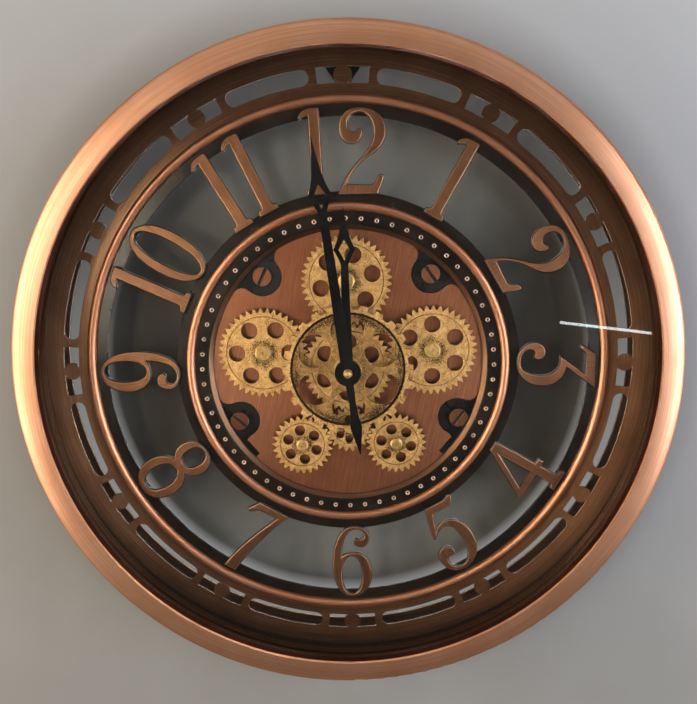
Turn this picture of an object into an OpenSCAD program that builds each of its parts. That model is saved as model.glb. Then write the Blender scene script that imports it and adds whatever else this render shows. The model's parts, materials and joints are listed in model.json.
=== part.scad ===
// Round wall clock with an open dial and a gear train that turns in view.
// Millimetres. The parts are drawn face up: X to the right, Y to 12 o'clock,
// Z out of the wall towards the viewer. on_wall() turns the finished part upright,
// with the origin in the mouth of the hanging hole.

/* [Gear train] */
// Module of the fine gears
tooth_module = 1.875; // [1.5:0.025:2.2]
// Teeth of the sun gear
sun_teeth = 40; // [34:1:44]
// Teeth of each of the three satellites
satellite_teeth = 40; // [34:1:44]
// Teeth of the idler under the sun
idler_teeth = 20; // [18:1:24]
// Teeth of each of the two planets
planet_teeth = 27; // [24:1:30]
// Slant of the two side satellites above the horizontal, in degrees
satellite_rise = 10.5; // [6:0.5:14]
// Slant of the planets below the idler, in degrees
planet_fall = 18; // [14:0.5:24]
// Pressure angle of the pointed teeth, in degrees
pressure_angle = 28; // [24:1:30]
// Play between meshing teeth on the pitch circle
tooth_play = 0.45; // [0.3:0.05:0.7]
// Thickness of the fine gears
gear_t = 3; // [2:0.5:4]
// Depth of the ring groove in the face of each fine gear
groove_depth = 0.6; // [0.3:0.1:1]
// Width of that groove
groove_w = 0.9; // [0.6:0.1:1.4]
// Round holes in a satellite and in the sun
satellite_hole_d = 14.5; // [11:0.5:16]
// Round holes in a planet
planet_hole_d = 9.5; // [7:0.5:10.5]
// Round holes in the idler
idler_hole_d = 7.5; // [5:0.5:8]
// Pivot pin of the satellites and planets
pivot_d = 6; // [4:0.5:7]
// Head of a satellite's pivot
satellite_cap_d = 14; // [11:0.5:16]
// Head of a planet's pivot
planet_cap_d = 10.5; // [9:0.5:12]
// Height of the pivot heads
cap_h = 2.4; // [1.5:0.1:3.5]

/* [Central wheel] */
// Coarse teeth of the open wheel in front
wheel_teeth = 24; // [18:1:28]
// Tip diameter of the open wheel
wheel_d = 112; // [104:1:118]
// Height of its square teeth
wheel_tooth_h = 4; // [3:0.5:5]
// Width of a tooth at the tip
wheel_tooth_w = 6.2; // [5:0.1:7]
// Width of the raised rim inside the teeth
wheel_rim_w = 2.8; // [2:0.1:4]
// Thickness of the rim
wheel_t = 4; // [3:0.5:6]
// Thickness of the sunk web
wheel_web_t = 2; // [1.5:0.5:2.5]
// Round windows in the web
wheel_window_d = 29; // [24:0.5:30]
// Circle on which the window centres lie
wheel_window_ring_d = 66; // [64:1:68]

/* [Gear plate] */
// Margin from the satellites' tips to the edge of the plate
plate_margin = 4.6; // [3:0.1:9]
// Thickness of the copper plate
plate_t = 2; // [1.5:0.5:3]
// Thickness of the black plate under it
back_plate_t = 2; // [1.5:0.5:3]
// Radius of the round pockets that show the screws
pocket_r = 17; // [14:0.5:18]
// Rounding where a pocket meets the rim of the plate
pocket_round = 9; // [6:0.5:10]
// Distance of the pockets' middles from the edge of the plate
pocket_inset = 10.7; // [9.5:0.1:12]
// Distance of the two upper screws from the edge of the plate
upper_screw_inset = 10.7; // [10:0.1:12]
// Distance of the two lower screws from the edge of the plate
lower_screw_inset = 9; // [9:0.1:12]
// Angle of the two upper pockets and screws from 12 o'clock, in degrees
upper_screw_angle = 42.5; // [38:0.5:46]
// Angle of the two lower pockets and screws from 12 o'clock, in degrees
lower_screw_angle = 116.4; // [113:0.1:120]
// Head of the slotted screws
screw_head_d = 16; // [12:0.5:18]
// Width of the slot
screw_slot_w = 3.2; // [2:0.1:4]
// Shank of the slotted screws
screw_d = 5; // [4:0.5:6]

/* [Rings of the dial] */
// Width of the sloped lip round the plate
lip_w = 4; // [3:0.5:7]
// Depth of the plate below the rings
plate_drop = 5.5; // [4:0.5:8]
// Width of the stud channel
channel_w = 11.5; // [10:0.5:16]
// Distance of the eyelets from the inner edge of the channel
stud_inset = 5.2; // [4:0.1:6]
// Outside diameter of an eyelet
stud_d = 4; // [3:0.1:5]
// Hole of an eyelet
stud_hole_d = 1.8; // [1:0.1:2.2]
// Width of the centre bead
centre_bead_w = 7.2; // [6:0.2:10]
// Width of the dark ring outside the centre bead
centre_ring_w = 8.8; // [7:0.2:12]
// Height of the numerals
numeral_h = 70; // [60:1:84]
// Thickness of the numerals
numeral_t = 4; // [3:0.5:6]
// How far a numeral lies on the centre ring
numeral_lap_in = 3.5; // [3:0.5:5]
// How far a numeral lies on the dial ring
numeral_lap_out = 6; // [5:0.5:8]
// Width of the dark ring inside the chapter bead
dial_ring_w = 9.5; // [9:0.5:12]
// Width of the chapter bead
chapter_bead_w = 8; // [6:0.2:10]
// Flat between the chapter bead and the windows
chapter_inner_w = 8; // [6:0.5:12]
// Height of the windows
window_h = 13; // [11:0.5:14]
// Disc that stands at each hour
hour_disc_d = 15; // [14.5:0.1:17]
// Half width of the square windows beside each disc
square_reach = 21.5; // [19:0.5:24]
// Bar between a square window and a slot
window_bar_w = 6.5; // [5:0.5:8]
// Flat from the windows to the drum
chapter_outer_w = 17; // [14:0.5:22]
// Sheet thickness of all rings
ring_t = 2; // [1.5:0.5:3]
// Depth of the skirt that joins the chapter ring to the drum
chapter_skirt_h = 12; // [8:1:18]

/* [Case] */
// Wall of the drum and its flanges
drum_t = 2; // [1.5:0.5:3]
// Width of the rear flange
rear_flange_w = 11; // [8:1:14]
// Sheet thickness of the bezel
bezel_t = 2; // [1.5:0.5:3]
// Width of the bezel band
bezel_w = 18.7; // [16:0.1:20]
// Distance of the crown from the outer edge
crown_inset = 12.5; // [10:0.5:14]
// Rise of the crown above the lip
bezel_rise = 9.5; // [8:0.5:14]
// Radius of the domed face of the bezel
bezel_dome_r = 34; // [28:1:50]
// Radius of the corner between the face and the skirt
bezel_corner_r = 4.5; // [3.5:0.5:6]
// Length of the skirt over the drum
bezel_skirt_h = 18; // [12:1:24]
// Thickness of the glass
glass_t = 3; // [2:0.5:4]
// Thickness of the gasket behind the glass
gasket_t = 1.2; // [0.8:0.1:2]
// Room from the hand nut to the glass
glass_gap = 3.2; // [2:0.1:8]

/* [Hands] */
// Reach of the minute hand
minute_len = 192; // [170:1:205]
// Reach of the minute hand's tail
tail_len = 71; // [60:1:80]
// Reach of the hour hand
hour_len = 135; // [120:1:150]
// Thickness of the hands
hand_t = 1.2; // [0.8:0.1:2]
// Boss of the hands
hand_boss_d = 22; // [18:0.5:26]
// Half width of the minute hand's lozenge
minute_lozenge = 9.8; // [8:0.2:12]
// Half width of the hour hand's lozenge
hour_lozenge = 9; // [8:0.2:11]
// Minutes past eleven shown at rest
minutes_shown = 58.7; // [0:0.1:59.9]
// Hand nut diameter
nut_d = 7.4; // [6:0.2:9]
// Hand nut height
nut_h = 5.3; // [4.5:0.1:7]

/* [Movement] */
// Side of the square movement case
movement_w = 56; // [52:1:60]
// Depth of the movement case
movement_depth = 16; // [15.5:0.5:20]
// Threaded stem
stem_d = 8; // [7:0.1:9]
// Hour tube
hour_tube_d = 5.2; // [4.8:0.1:5.6]
// Minute arbor
minute_arbor_d = 3.2; // [2.8:0.1:3.4]
// Outside of the tube that carries the sun and the central wheel
wheel_tube_d = 13; // [11:0.5:14]
// Set knob diameter
knob_d = 13; // [10:0.5:16]
// Set knob thickness
knob_t = 2.2; // [1.5:0.1:2.6]
// Round cell diameter
cell_d = 14.2; // [13.8:0.1:14.5]
// Round cell length
cell_len = 50; // [49:0.5:50.5]
// Gear motor diameter
motor_d = 36; // [30:1:40]
// Motor shaft diameter
motor_shaft_d = 5; // [4:0.5:6]

/* [Back] */
// Sheet thickness of the back cover
cover_t = 1.5; // [1.2:0.1:2.5]
// Keyhole entry diameter
keyhole_d = 9; // [8:0.5:10]
// Keyhole slot width
keyhole_slot_w = 4.4; // [4:0.1:5]
// Rise from the entry to the top of the slot
keyhole_rise = 7; // [6:0.5:9]
// Hanger plate thickness
hanger_t = 2; // [1.5:0.5:3]

/* [Clearances] */
// Radial play of a running fit
run_gap = 0.05; // [0.02:0.01:0.09]
// Side play of moving faces
side_gap = 0.3; // [0.2:0.05:0.6]
// Gap between nested fixed pieces
seat_gap = 0.2; // [0.1:0.05:0.3]

/* [Hidden] */
$fn = 96;
cut = 1;
hours = [1:12];

// Finishes as the eye sees them
copper = "#b8714a";
dark_copper = "#5a3524";
black = "#15120f";
gold = "#c79a52";
brass = "#d8b768";
steel = "#9a9a98";
plastic = "#1d1d1f";

// Heights above the wall, from the back to the front
knob_room = 1;
knob_z = knob_room;
movement_z = knob_z + knob_t + side_gap;
washer_t = 1;
back_plate_z = movement_z + movement_depth + washer_t;
plate_z = back_plate_z + back_plate_t;
plate_front = plate_z + plate_t;
dial_z = plate_front + plate_drop;
ring_z = dial_z - ring_t;
gear_lift = 4;
gear_z = plate_front + gear_lift;
gear_front = gear_z + gear_t;
wheel_lift = 8.5;
wheel_z = gear_front + wheel_lift;
wheel_front = wheel_z + wheel_t;
tube_stand = 2.5;
tube_top = wheel_front + tube_stand;
collar_z = tube_top + side_gap;
collar_t = 2.2;
stem_stand = 2;
stem_top = collar_z + collar_t + stem_stand;
hour_lift = 4;
hour_z = stem_top + hour_lift;
hands_lift = 2.3;
minute_z = hour_z + hand_t + hands_lift;
nut_z = minute_z + hand_t;
glass_z = nut_z + nut_h + glass_gap;
glass_front = glass_z + glass_t;
gasket_z = glass_z - gasket_t;
front_flange_z = gasket_z - drum_t;
lip_z = glass_front + side_gap;
crown_z = lip_z + bezel_rise;

// Radii, from the gear train out to the bezel
sun_r = tooth_module * sun_teeth / 2;
satellite_r = tooth_module * satellite_teeth / 2;
idler_r = tooth_module * idler_teeth / 2;
planet_r = tooth_module * planet_teeth / 2;
addendum = 0.85 * tooth_module;
dedendum = 1.15 * tooth_module;
satellite_ring_r = sun_r + satellite_r;
plate_r = satellite_ring_r + satellite_r + addendum + plate_margin;
pocket_ring_r = plate_r - pocket_inset;
lip_r = plate_r + lip_w;
centre_bead_r = lip_r + channel_w + centre_bead_w / 2;
stud_ring_r = lip_r + stud_inset;
centre_ring_r = centre_bead_r + centre_bead_w / 2 + centre_ring_w;
numeral_in_r = centre_ring_r - numeral_lap_in;
numeral_mid_r = numeral_in_r + numeral_h / 2;
dial_ring_r = numeral_in_r + numeral_h - numeral_lap_out;
chapter_bead_r = dial_ring_r + dial_ring_w + chapter_bead_w / 2;
window_in_r = chapter_bead_r + chapter_bead_w / 2 + chapter_inner_w;
window_mid_r = window_in_r + window_h / 2;
window_out_r = window_in_r + window_h;
drum_in_r = window_out_r + chapter_outer_w;
drum_r = drum_in_r + drum_t;
bezel_in_r = drum_r + seat_gap;
case_r = bezel_in_r + bezel_t;
lip_in_r = case_r - bezel_w;
glass_r = drum_in_r - 3;
flange_in_r = lip_in_r + 2;
cover_r = centre_bead_r + 4;
rear_flange_r = drum_r - rear_flange_w;

// Places of the gears, their teeth in mesh at rest
satellite_turn = [90, 180 - satellite_rise, satellite_rise];
function polar(r, a) = [r * cos(a), r * sin(a)];
idler_at = [0, -(sun_r + idler_r)];
planet_left_at = idler_at + polar(idler_r + planet_r, 180 + planet_fall);
planet_right_at = idler_at + polar(idler_r + planet_r, -planet_fall);
// Turn of a gear whose teeth fall into the gaps of a gear that lies in direction dir before it
function mesh_turn(turn, teeth, next, dir) = dir + 180 - (0.5 - (dir - turn) * teeth / 360) * 360 / next;
sun_phase = 0;
idler_phase = mesh_turn(sun_phase, sun_teeth, idler_teeth, 270);
planet_left_phase = mesh_turn(idler_phase, idler_teeth, planet_teeth, 180 + planet_fall);
planet_right_phase = mesh_turn(idler_phase, idler_teeth, planet_teeth, -planet_fall);
satellite_holes = [15, 0, 30];
planet_holes = [38, 48];

// Screws of the gear plate, clockwise from 12 o'clock, and the turn of their slots
ear_angles = [upper_screw_angle, lower_screw_angle, -lower_screw_angle, -upper_screw_angle];
ear_slots = [-56, 52, -43, 65];
ear_insets = [upper_screw_inset, lower_screw_inset, lower_screw_inset, upper_screw_inset];
function screw_at(i) = polar(plate_r - ear_insets[i], 90 - ear_angles[i]);

// Hanging hole
keyhole_y = window_out_r + 1;
hanger_z = drum_t;

// General shapes

module on_wall() {
  translate([0, hanger_z, -keyhole_y]) rotate([90, 0, 0]) children();
}

module ring(r_in, r_out, z, t) {
  translate([0, 0, z]) difference() {
    cylinder(r = r_out, h = t);
    translate([0, 0, -cut]) cylinder(r = r_in, h = t + 2 * cut);
  }
}

module disc(r, z, t) {
  translate([0, 0, z]) cylinder(r = r, h = t);
}

// Part of a ring between two angles, anticlockwise from 3 o'clock
module sector(r_in, r_out, a0, a1, z, t) {
  rotate([0, 0, a0]) rotate_extrude(angle = a1 - a0) translate([r_in, z]) square([r_out - r_in, t]);
}

// Half-round bead that stands on the rings
module bead(r, w, z) {
  rotate_extrude() translate([r, z]) intersection() {
    translate([0, w * 0.06]) circle(d = w);
    translate([-w, 0]) square([2 * w, w]);
  }
}

// Fine gear with involute flanks

function inv(a) = tan(a) * 180 / PI - a;
function half_tooth(r, pitch_r, teeth) =
  90 / teeth - tooth_play / 2 / pitch_r * 180 / PI
  + inv(pressure_angle) - inv(acos(min(1, pitch_r * cos(pressure_angle) / r)));
flank_steps = 3;
function gear_outline(teeth) =
  let (pitch_r = tooth_module * teeth / 2,
       base_r = pitch_r * cos(pressure_angle),
       root_r = max(pitch_r - dedendum, base_r),
       step = (pitch_r + addendum - root_r) / flank_steps)
  [for (k = [0:teeth - 1], side = [-1, 1], j = [0:flank_steps])
    let (i = side < 0 ? j : flank_steps - j, r = root_r + i * step)
    polar(r, k * 360 / teeth + side * half_tooth(r, pitch_r, teeth))];

// Gear in its own place: flat face to the front, a ring groove and six round holes
module fine_gear(teeth, at, phase, bore_r, hole_d, hole_ring_r, hole_turn) {
  groove_r = tooth_module * teeth / 2 - dedendum - 3;
  color(gold) translate([at[0], at[1], gear_z]) difference() {
    rotate([0, 0, phase]) linear_extrude(gear_t) polygon(gear_outline(teeth));
    translate([0, 0, -cut]) cylinder(r = bore_r, h = gear_t + 2 * cut);
    for (k = [0:5]) rotate([0, 0, hole_turn + 60 * k]) translate([hole_ring_r, 0, -cut])
      cylinder(d = hole_d, h = gear_t + 2 * cut);
    ring(groove_r - groove_w, groove_r, gear_t - groove_depth, groove_depth + cut);
  }
}

// Case

crown_r = case_r - crown_inset;
crown_to_lip = bezel_w - crown_inset;
skirt_z = lip_z - bezel_skirt_h;

// Section of the bezel, drawn in by a margin: skirt, rounded corner, domed face and inner wall
dome_at = [crown_r, crown_z - bezel_dome_r];
corner_at = [case_r - bezel_corner_r,
  dome_at[1] + sqrt(pow(bezel_dome_r - bezel_corner_r, 2) - pow(crown_inset - bezel_corner_r, 2))];
module bezel_section(in) {
  beyond = 2 * corner_at - dome_at;
  translate(corner_at) circle(r = bezel_corner_r - in);
  translate([crown_r, skirt_z - in]) square([crown_inset - in, corner_at[1] - skirt_z + in]);
  intersection() {
    translate(dome_at) circle(r = bezel_dome_r - in);
    polygon([[lip_in_r + in, lip_z - in], [crown_r, lip_z - in], [crown_r, corner_at[1]], corner_at,
      beyond, [lip_in_r + in, beyond[1]]]);
  }
}

module bezel() {
  color(copper) difference() {
    rotate_extrude() union() {
      difference() {
        bezel_section(0);
        bezel_section(bezel_t);
      }
      translate([lip_in_r, lip_z]) square([crown_to_lip, bezel_t / 2]);
    }
    bezel_screw_places() {
      cylinder(d = bezel_screw_d + 2 * seat_gap, h = bezel_screw_len, center = true);
      translate([0, 0, -bezel_screw_head_h])
        cylinder(d = bezel_screw_head_d + 2 * seat_gap, h = bezel_screw_len);
    }
  }
}

bezel_screw_d = 3;
bezel_screw_len = 12;
bezel_screw_head_d = 6;
bezel_screw_head_h = 1.1;
bezel_screw_z = lip_z - bezel_skirt_h + 7;
module bezel_screw_places() {
  for (k = [0:5]) rotate([0, 0, 30 + 60 * k]) translate([case_r, 0, bezel_screw_z])
    rotate([0, 90, 0]) children();
}

module bezel_screws() {
  color(dark_copper) bezel_screw_places() {
    translate([0, 0, -bezel_screw_head_h]) cylinder(d = bezel_screw_head_d, h = bezel_screw_head_h - 0.1);
    translate([0, 0, -5]) cylinder(d = bezel_screw_d, h = 4.5);
  }
}

module case_drum() {
  color(dark_copper) difference() {
    union() {
      ring(drum_in_r, drum_r, 0, gasket_z);
      ring(rear_flange_r, drum_r - drum_t / 2, 0, drum_t);
      ring(flange_in_r, drum_r - drum_t / 2, front_flange_z, drum_t);
    }
    translate([-keyhole_d / 2 - 1, keyhole_y, -cut])
      cube([keyhole_d + 2, keyhole_rise + keyhole_slot_w, drum_t + 2 * cut]);
    bezel_screw_places() cylinder(d = bezel_screw_d + 2 * seat_gap, h = bezel_screw_len, center = true);
    hanger_rivet_places() translate([0, 0, -cut])
      cylinder(d = hanger_rivet_d + 2 * seat_gap, h = drum_t + 2 * cut);
  }
}

module glass() {
  color("#dfe8ea", 0.25) disc(glass_r, glass_z, glass_t);
}

module glass_gasket() {
  color(black) ring(flange_in_r, glass_r, gasket_z, gasket_t);
}

// Chapter ring: round-ended slots, and square windows on both sides of each hour disc
module chapter_windows() {
  square_a = asin(square_reach / window_mid_r);
  slot_a = asin((square_reach + window_bar_w + window_h / 2) / window_mid_r);
  for (h = hours) rotate([0, 0, 30 * h]) {
    difference() {
      sector(window_in_r, window_out_r, -square_a, square_a, ring_z - cut, ring_t + 2 * cut);
      translate([window_mid_r, 0, ring_z - 2 * cut]) cylinder(d = hour_disc_d, h = ring_t + 4 * cut);
    }
    sector(window_in_r, window_out_r, slot_a, 30 - slot_a, ring_z - cut, ring_t + 2 * cut);
    for (a = [slot_a, 30 - slot_a]) rotate([0, 0, a]) translate([window_mid_r, 0, ring_z - cut])
      cylinder(d = window_h, h = ring_t + 2 * cut);
  }
}

module chapter_ring() {
  outer_r = drum_in_r - seat_gap;
  color(dark_copper) difference() {
    rotate_extrude() polygon([[chapter_bead_r + seat_gap, ring_z], [outer_r - ring_t, ring_z],
      [outer_r - ring_t, ring_z - chapter_skirt_h], [outer_r, ring_z - chapter_skirt_h],
      [outer_r, dial_z], [chapter_bead_r + seat_gap, dial_z]]);
    chapter_windows();
  }
}

module chapter_bead() {
  color(copper) bead(chapter_bead_r, chapter_bead_w, dial_z);
}

module dial_ring() {
  color(black) ring(dial_ring_r, chapter_bead_r, ring_z, ring_t);
}

// Numerals

// Outline of a glyph: a point is [x, y], a curve to a point is [x1, y1, x2, y2, x, y]
curve_steps = 7;
function last2(p) = [p[len(p) - 2], p[len(p) - 1]];
function bezier(p, a, b, q, t) =
  pow(1 - t, 3) * p + 3 * t * pow(1 - t, 2) * a + 3 * t * t * (1 - t) * b + t * t * t * q;
function outline(path) = [for (i = [0:len(path) - 1])
  let (p = path[i], from = last2(path[(i + len(path) - 1) % len(path)]))
  each len(p) == 2 ? [p] : [for (k = [1:curve_steps])
    bezier(from, [p[0], p[1]], [p[2], p[3]], [p[4], p[5]], k / curve_steps)]];
// Closed oval through its four extremes, squarer than an ellipse
function oval(c, a, b, full = 0.6) = [
  [c[0] + a * full, c[1] + b, c[0] + a, c[1] + b * full, c[0] + a, c[1]],
  [c[0] + a, c[1] - b * full, c[0] + a * full, c[1] - b, c[0], c[1] - b],
  [c[0] - a * full, c[1] - b, c[0] - a, c[1] - b * full, c[0] - a, c[1]],
  [c[0] - a, c[1] + b * full, c[0] - a * full, c[1] + b, c[0], c[1] + b]];

// Glyphs stand 70 high about their own middle
glyph_h = 70;
one = [[-9.5, -35], [9, -35], [9, -32], [9, -30.5, 8, -29.5, 6.8, -29.5], [5.6, -29.5, 5, -28.6, 5, -27],
  [5, 32], [5, 34, 4.4, 35, 3, 35], [-3, 35], [-7, 34.8, -10.5, 33.2, -12.6, 29.4],
  [-14, 27, -12.4, 25.2, -10.4, 26.4], [-8.8, 27.4, -7.4, 28.4, -5, 28.4], [-5, -27],
  [-5, -28.6, -5.8, -29.5, -7, -29.5], [-8.6, -29.5, -9.5, -30.5, -9.5, -32]];
two = [[13, -35], [-20.5, -35], [-17, -22, -9, -13, 0, -4], [6, 3, 9.5, 8, 9.5, 15],
  [9.5, 24, 4.5, 30.5, -2, 30.5],
  [-8, 30.5, -11.7, 26.5, -11.7, 21.5], [-11.7, 17.5, -9.5, 15.3, -7, 15.5],
  [-5, 15.7, -4.5, 18.3, -2.5, 18.3],
  [-0.5, 18.3, 0.9, 16.8, 0.6, 14.5], [0, 9.5, -3.5, 5.5, -8, 5.5], [-15, 5.5, -19.3, 11, -19.3, 18.5],
  [-19.3, 29, -12.5, 35, -3, 35], [10.5, 35, 20, 28, 20, 16.5], [20, 6, 13.5, 0, 5, -5],
  [-4.5, -11, -11, -19.5, -12.8, -26], [6, -27], [10, -27, 10.5, -24.5, 12, -21],
  [13.2, -17.6, 18.6, -17.6, 18, -21.3], [17.4, -25.5, 14.5, -29.5, 13, -35]];
three = [[-8.5, 34.5], [22.5, 34.5], [3.5, 9], [13.5, 7, 19.5, -1, 19.5, -11], [19.5, -25, 11, -35, -2, -35],
  [-12.5, -35, -19.6, -28.5, -19.6, -20], [-19.6, -13.5, -15.5, -9.5, -10, -9.5],
  [-5.5, -9.5, -3.2, -14, -3.8, -17], [-4.3, -19.8, -6.6, -20.4, -8.6, -19.6],
  [-10.8, -18.8, -12.8, -21, -12.8, -24], [-12.8, -28.5, -7, -31, -1, -31], [5.5, -31, 9.5, -23, 9.5, -13],
  [9.5, -4, 5, 2.8, -2.5, 2.8], [-8, 2.3], [8.5, 24.8], [-8.5, 24.8], [-10.2, 24.8, -11, 21.5, -13, 20.6],
  [-14.8, 19.8, -17.8, 20.6, -17, 22.6]];
four = [[5.5, 35], [5.5, -6.5], [10.5, -6.5], [10.5, -13.5], [5.5, -13.5], [5.5, -27],
  [5.5, -28.6, 6.4, -29.5, 8, -29.5], [10, -29.5, 11, -30.5, 11, -32], [11, -35], [-8.5, -35], [-8.5, -32],
  [-8.5, -30.5, -7.6, -29.5, -6.5, -29.5], [-5.2, -29.5, -4.5, -28.6, -4.5, -27], [-4.5, -13.5],
  [-26.5, -13.5], [-29.5, -13.5, -30, -10.5, -28.5, -7.5], [-4.5, 35]];
four_eye = [[-4.5, 22.5], [-4.5, -6.5], [-20.5, -6.5]];
five = [[-8, 34], [10, 33.2], [13, 33.2, 14, 36, 17, 35.6], [19, 35.2, 19.6, 34, 19, 32.5],
  [17.6, 29, 15.5, 25.5, 12.5, 25.5], [-3.5, 25.5], [-8.5, 11.5], [-6, 14.5, -2.5, 15.5, 1, 15.5],
  [11, 15.5, 18.5, 5.5, 18.5, -8], [18.5, -23.5, 9.5, -34.5, -4, -34.5], [-14, -34.5, -20.5, -27, -20.5, -18],
  [-20.5, -11.5, -17, -7, -11.5, -7], [-7, -7, -3.3, -10, -3.5, -14], [-3.6, -17.2, -6, -18, -8, -17.5],
  [-11, -16.8, -13.5, -18.5, -13.5, -21.5], [-13.5, -27, -9.5, -30.3, -4.5, -30.3], [4, -30.3, 8, -20, 8, -9],
  [8, 3, 4.5, 10, -1.5, 10], [-6, 10, -10.5, 6.5, -13.5, 3], [-16, 4.5]];
six = [[-17.5, 20, -9, 35, 2, 35], [10.5, 35, 17, 31, 17, 25], [17, 18.5, 14, 14, 9.5, 14],
  [5, 14, 2.2, 16.6, 2.4, 19.5], [2.6, 22, 5, 23.4, 7, 22.5], [9.4, 21.4, 11.8, 23, 11.8, 26],
  [11.8, 29.5, 8.5, 31.5, 4, 31.5], [-4, 31.5, -8.5, 19, -8.5, 6], [-5.5, 8.5, -1.5, 9.5, 3, 9.5],
  [13.5, 9.5, 19, 0, 19, -12], [19, -25, 11.5, -34.5, 1, -34.5], [-11, -34.5, -17.5, -21, -17.5, -3]];
six_eye = oval([0.5, -13], 9, 18.2);
seven = [[-9.5, 35], [21, 35], [14, 22, 4, -8, 1.5, -35], [-10.5, -35], [-8, -14, 2, 8, 10.5, 27.5],
  [-5, 27.5],
  [-9, 27.5, -10.5, 22.2, -13.5, 22.5], [-15.5, 22.6, -17.2, 23.6, -16.5, 25]];
eight = [[-14.5, 9, -17, 14, -17, 20.5], [-17, 29.5, -10, 35, -0.5, 35], [9, 35, 16, 29.5, 16, 20.5],
  [16, 14, 13, 9, 8, 6], [14.5, 3, 18.5, -4.5, 18.5, -14], [18.5, -26.5, 10.5, -35, -0.5, -35],
  [-12, -35, -20, -26.5, -20, -14], [-20, -4.5, -15, 3, -9.5, 6]];
eight_top_eye = oval([-0.8, 21], 8, 10.8);
eight_low_eye = oval([-0.8, -14], 10, 15.6);
zero = oval([0, 0], 18.5, 35);
zero_eye = oval([0, 0], 10, 31);
// Each glyph: outline, then its eyes
glyphs = [[zero, zero_eye], [one], [two], [three], [four, four_eye], [five], [six, six_eye], [seven],
  [eight, eight_top_eye, eight_low_eye]];

module glyph(digit) {
  size = numeral_h / glyph_h;
  shape = glyphs[digit == 9 ? 6 : digit];
  rotate(digit == 9 ? 180 : 0) difference() {
    polygon(outline(shape[0]) * size);
    for (i = [1:1:len(shape) - 1]) polygon(outline(shape[i]) * size);
  }
}

// Digits of each numeral: [digit, shift to the right, turn in degrees]
digits = [[], [[1, 0, 0]], [[2, 0, 0]], [[3, 0, 0]], [[4, 0, 0]], [[5, 0, 0]], [[6, 0, 0]], [[7, 0, 0]],
  [[8, 0, 0]], [[9, 0, 0]], [[1, -21, 5.5], [0, 12, 0]], [[1, -13, 1], [1, 15, -4.4]],
  [[1, -23.5, 2.5], [2, 15, 0]]];
// The lower numerals stand upright with their heads to the centre
function head_in(h) = h >= 4 && h <= 8;

module numeral(h) {
  color(copper) rotate([0, 0, -30 * h]) translate([0, numeral_mid_r, dial_z]) linear_extrude(numeral_t)
    rotate(head_in(h) ? 180 : 0)
      for (d = digits[h]) translate([d[1] * numeral_h / glyph_h, 0]) rotate(d[2]) glyph(d[0]);
}

module numeral_1() numeral(1);
module numeral_2() numeral(2);
module numeral_3() numeral(3);
module numeral_4() numeral(4);
module numeral_5() numeral(5);
module numeral_6() numeral(6);
module numeral_7() numeral(7);
module numeral_8() numeral(8);
module numeral_9() numeral(9);
module numeral_10() numeral(10);
module numeral_11() numeral(11);
module numeral_12() numeral(12);

// Centre of the dial

module centre_ring() {
  color(black) ring(centre_bead_r, centre_ring_r, ring_z, ring_t);
}

module centre_bead() {
  color(copper) bead(centre_bead_r, centre_bead_w, dial_z);
}

module stud_channel() {
  color(black) ring(lip_r, centre_bead_r - seat_gap, ring_z, ring_t);
}

stud_count = 60;
stud_h = 1.3;
module studs() {
  rim = (stud_d - stud_hole_d) / 4;
  color(brass) for (k = [1:stud_count]) rotate([0, 0, 360 / stud_count * k])
    translate([stud_ring_r, 0, dial_z]) rotate_extrude() {
      translate([stud_hole_d / 2, 0]) square([2 * rim, stud_h - rim]);
      translate([stud_hole_d / 2 + rim, stud_h - rim]) circle(r = rim);
    }
}

lip_rise = (dial_z - plate_front) * 0.65;
module plate_lip() {
  color(dark_copper) rotate_extrude() polygon([[plate_r + seat_gap, plate_z], [lip_r - seat_gap, plate_z],
    [lip_r - seat_gap, plate_front + lip_rise], [plate_r + seat_gap, plate_front + plate_t / 2]]);
}

// Bell-shaped pocket of the gear plate: round about the screw, flaring to the rim with rounded corners
function arc(c, r, from, to, steps) = [for (k = [0:steps]) c + polar(r, from + (to - from) * k / steps)];
function pocket_outline() =
  let (corner_r = plate_r - pocket_round,
       reach = pocket_r + pocket_round,
       spread = acos((pow(pocket_ring_r, 2) + pow(corner_r, 2) - pow(reach, 2))
         / (2 * pocket_ring_r * corner_r)),
       mid = [pocket_ring_r, 0],
       low = polar(corner_r, -spread),
       high = polar(corner_r, spread),
       lean = atan2(mid[1] - low[1], mid[0] - low[0]))
  concat([polar(plate_r + pocket_round, -spread)],
    arc(low, pocket_round, -spread, lean - 3, 10),
    arc(mid, pocket_r, lean + 183, 177 - lean, 20),
    arc(high, pocket_round, 3 - lean, spread, 10),
    [polar(plate_r + pocket_round, spread)]);

// Straight step at each end of the plate's lower edge
step_depth = 5.4;
step_len = 16;
module plate_step(side) {
  a = 90 + side * (lower_screw_angle + 14);
  rotate(a) translate([plate_r - step_depth, -step_len / 2]) square([step_depth + cut, step_len]);
}

module gear_plate() {
  color(copper) difference() {
    translate([0, 0, plate_z]) linear_extrude(plate_t) difference() {
      circle(r = plate_r);
      for (a = ear_angles) rotate(90 - a) polygon(pocket_outline());
      for (side = [-1, 1]) plate_step(side);
    }
    plate_holes(plate_z, plate_t);
  }
}

// Bores that the stem, the pivots and the motor shaft pass through
module plate_holes(z, t) {
  translate([0, 0, z - cut]) {
    cylinder(d = stem_d + 2 * seat_gap, h = t + 2 * cut);
    translate(idler_at) cylinder(d = motor_shaft_d + 4 * side_gap, h = t + 2 * cut);
    for (p = pivots) translate(p) cylinder(d = pivot_d, h = t + 2 * cut);
  }
}

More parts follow.
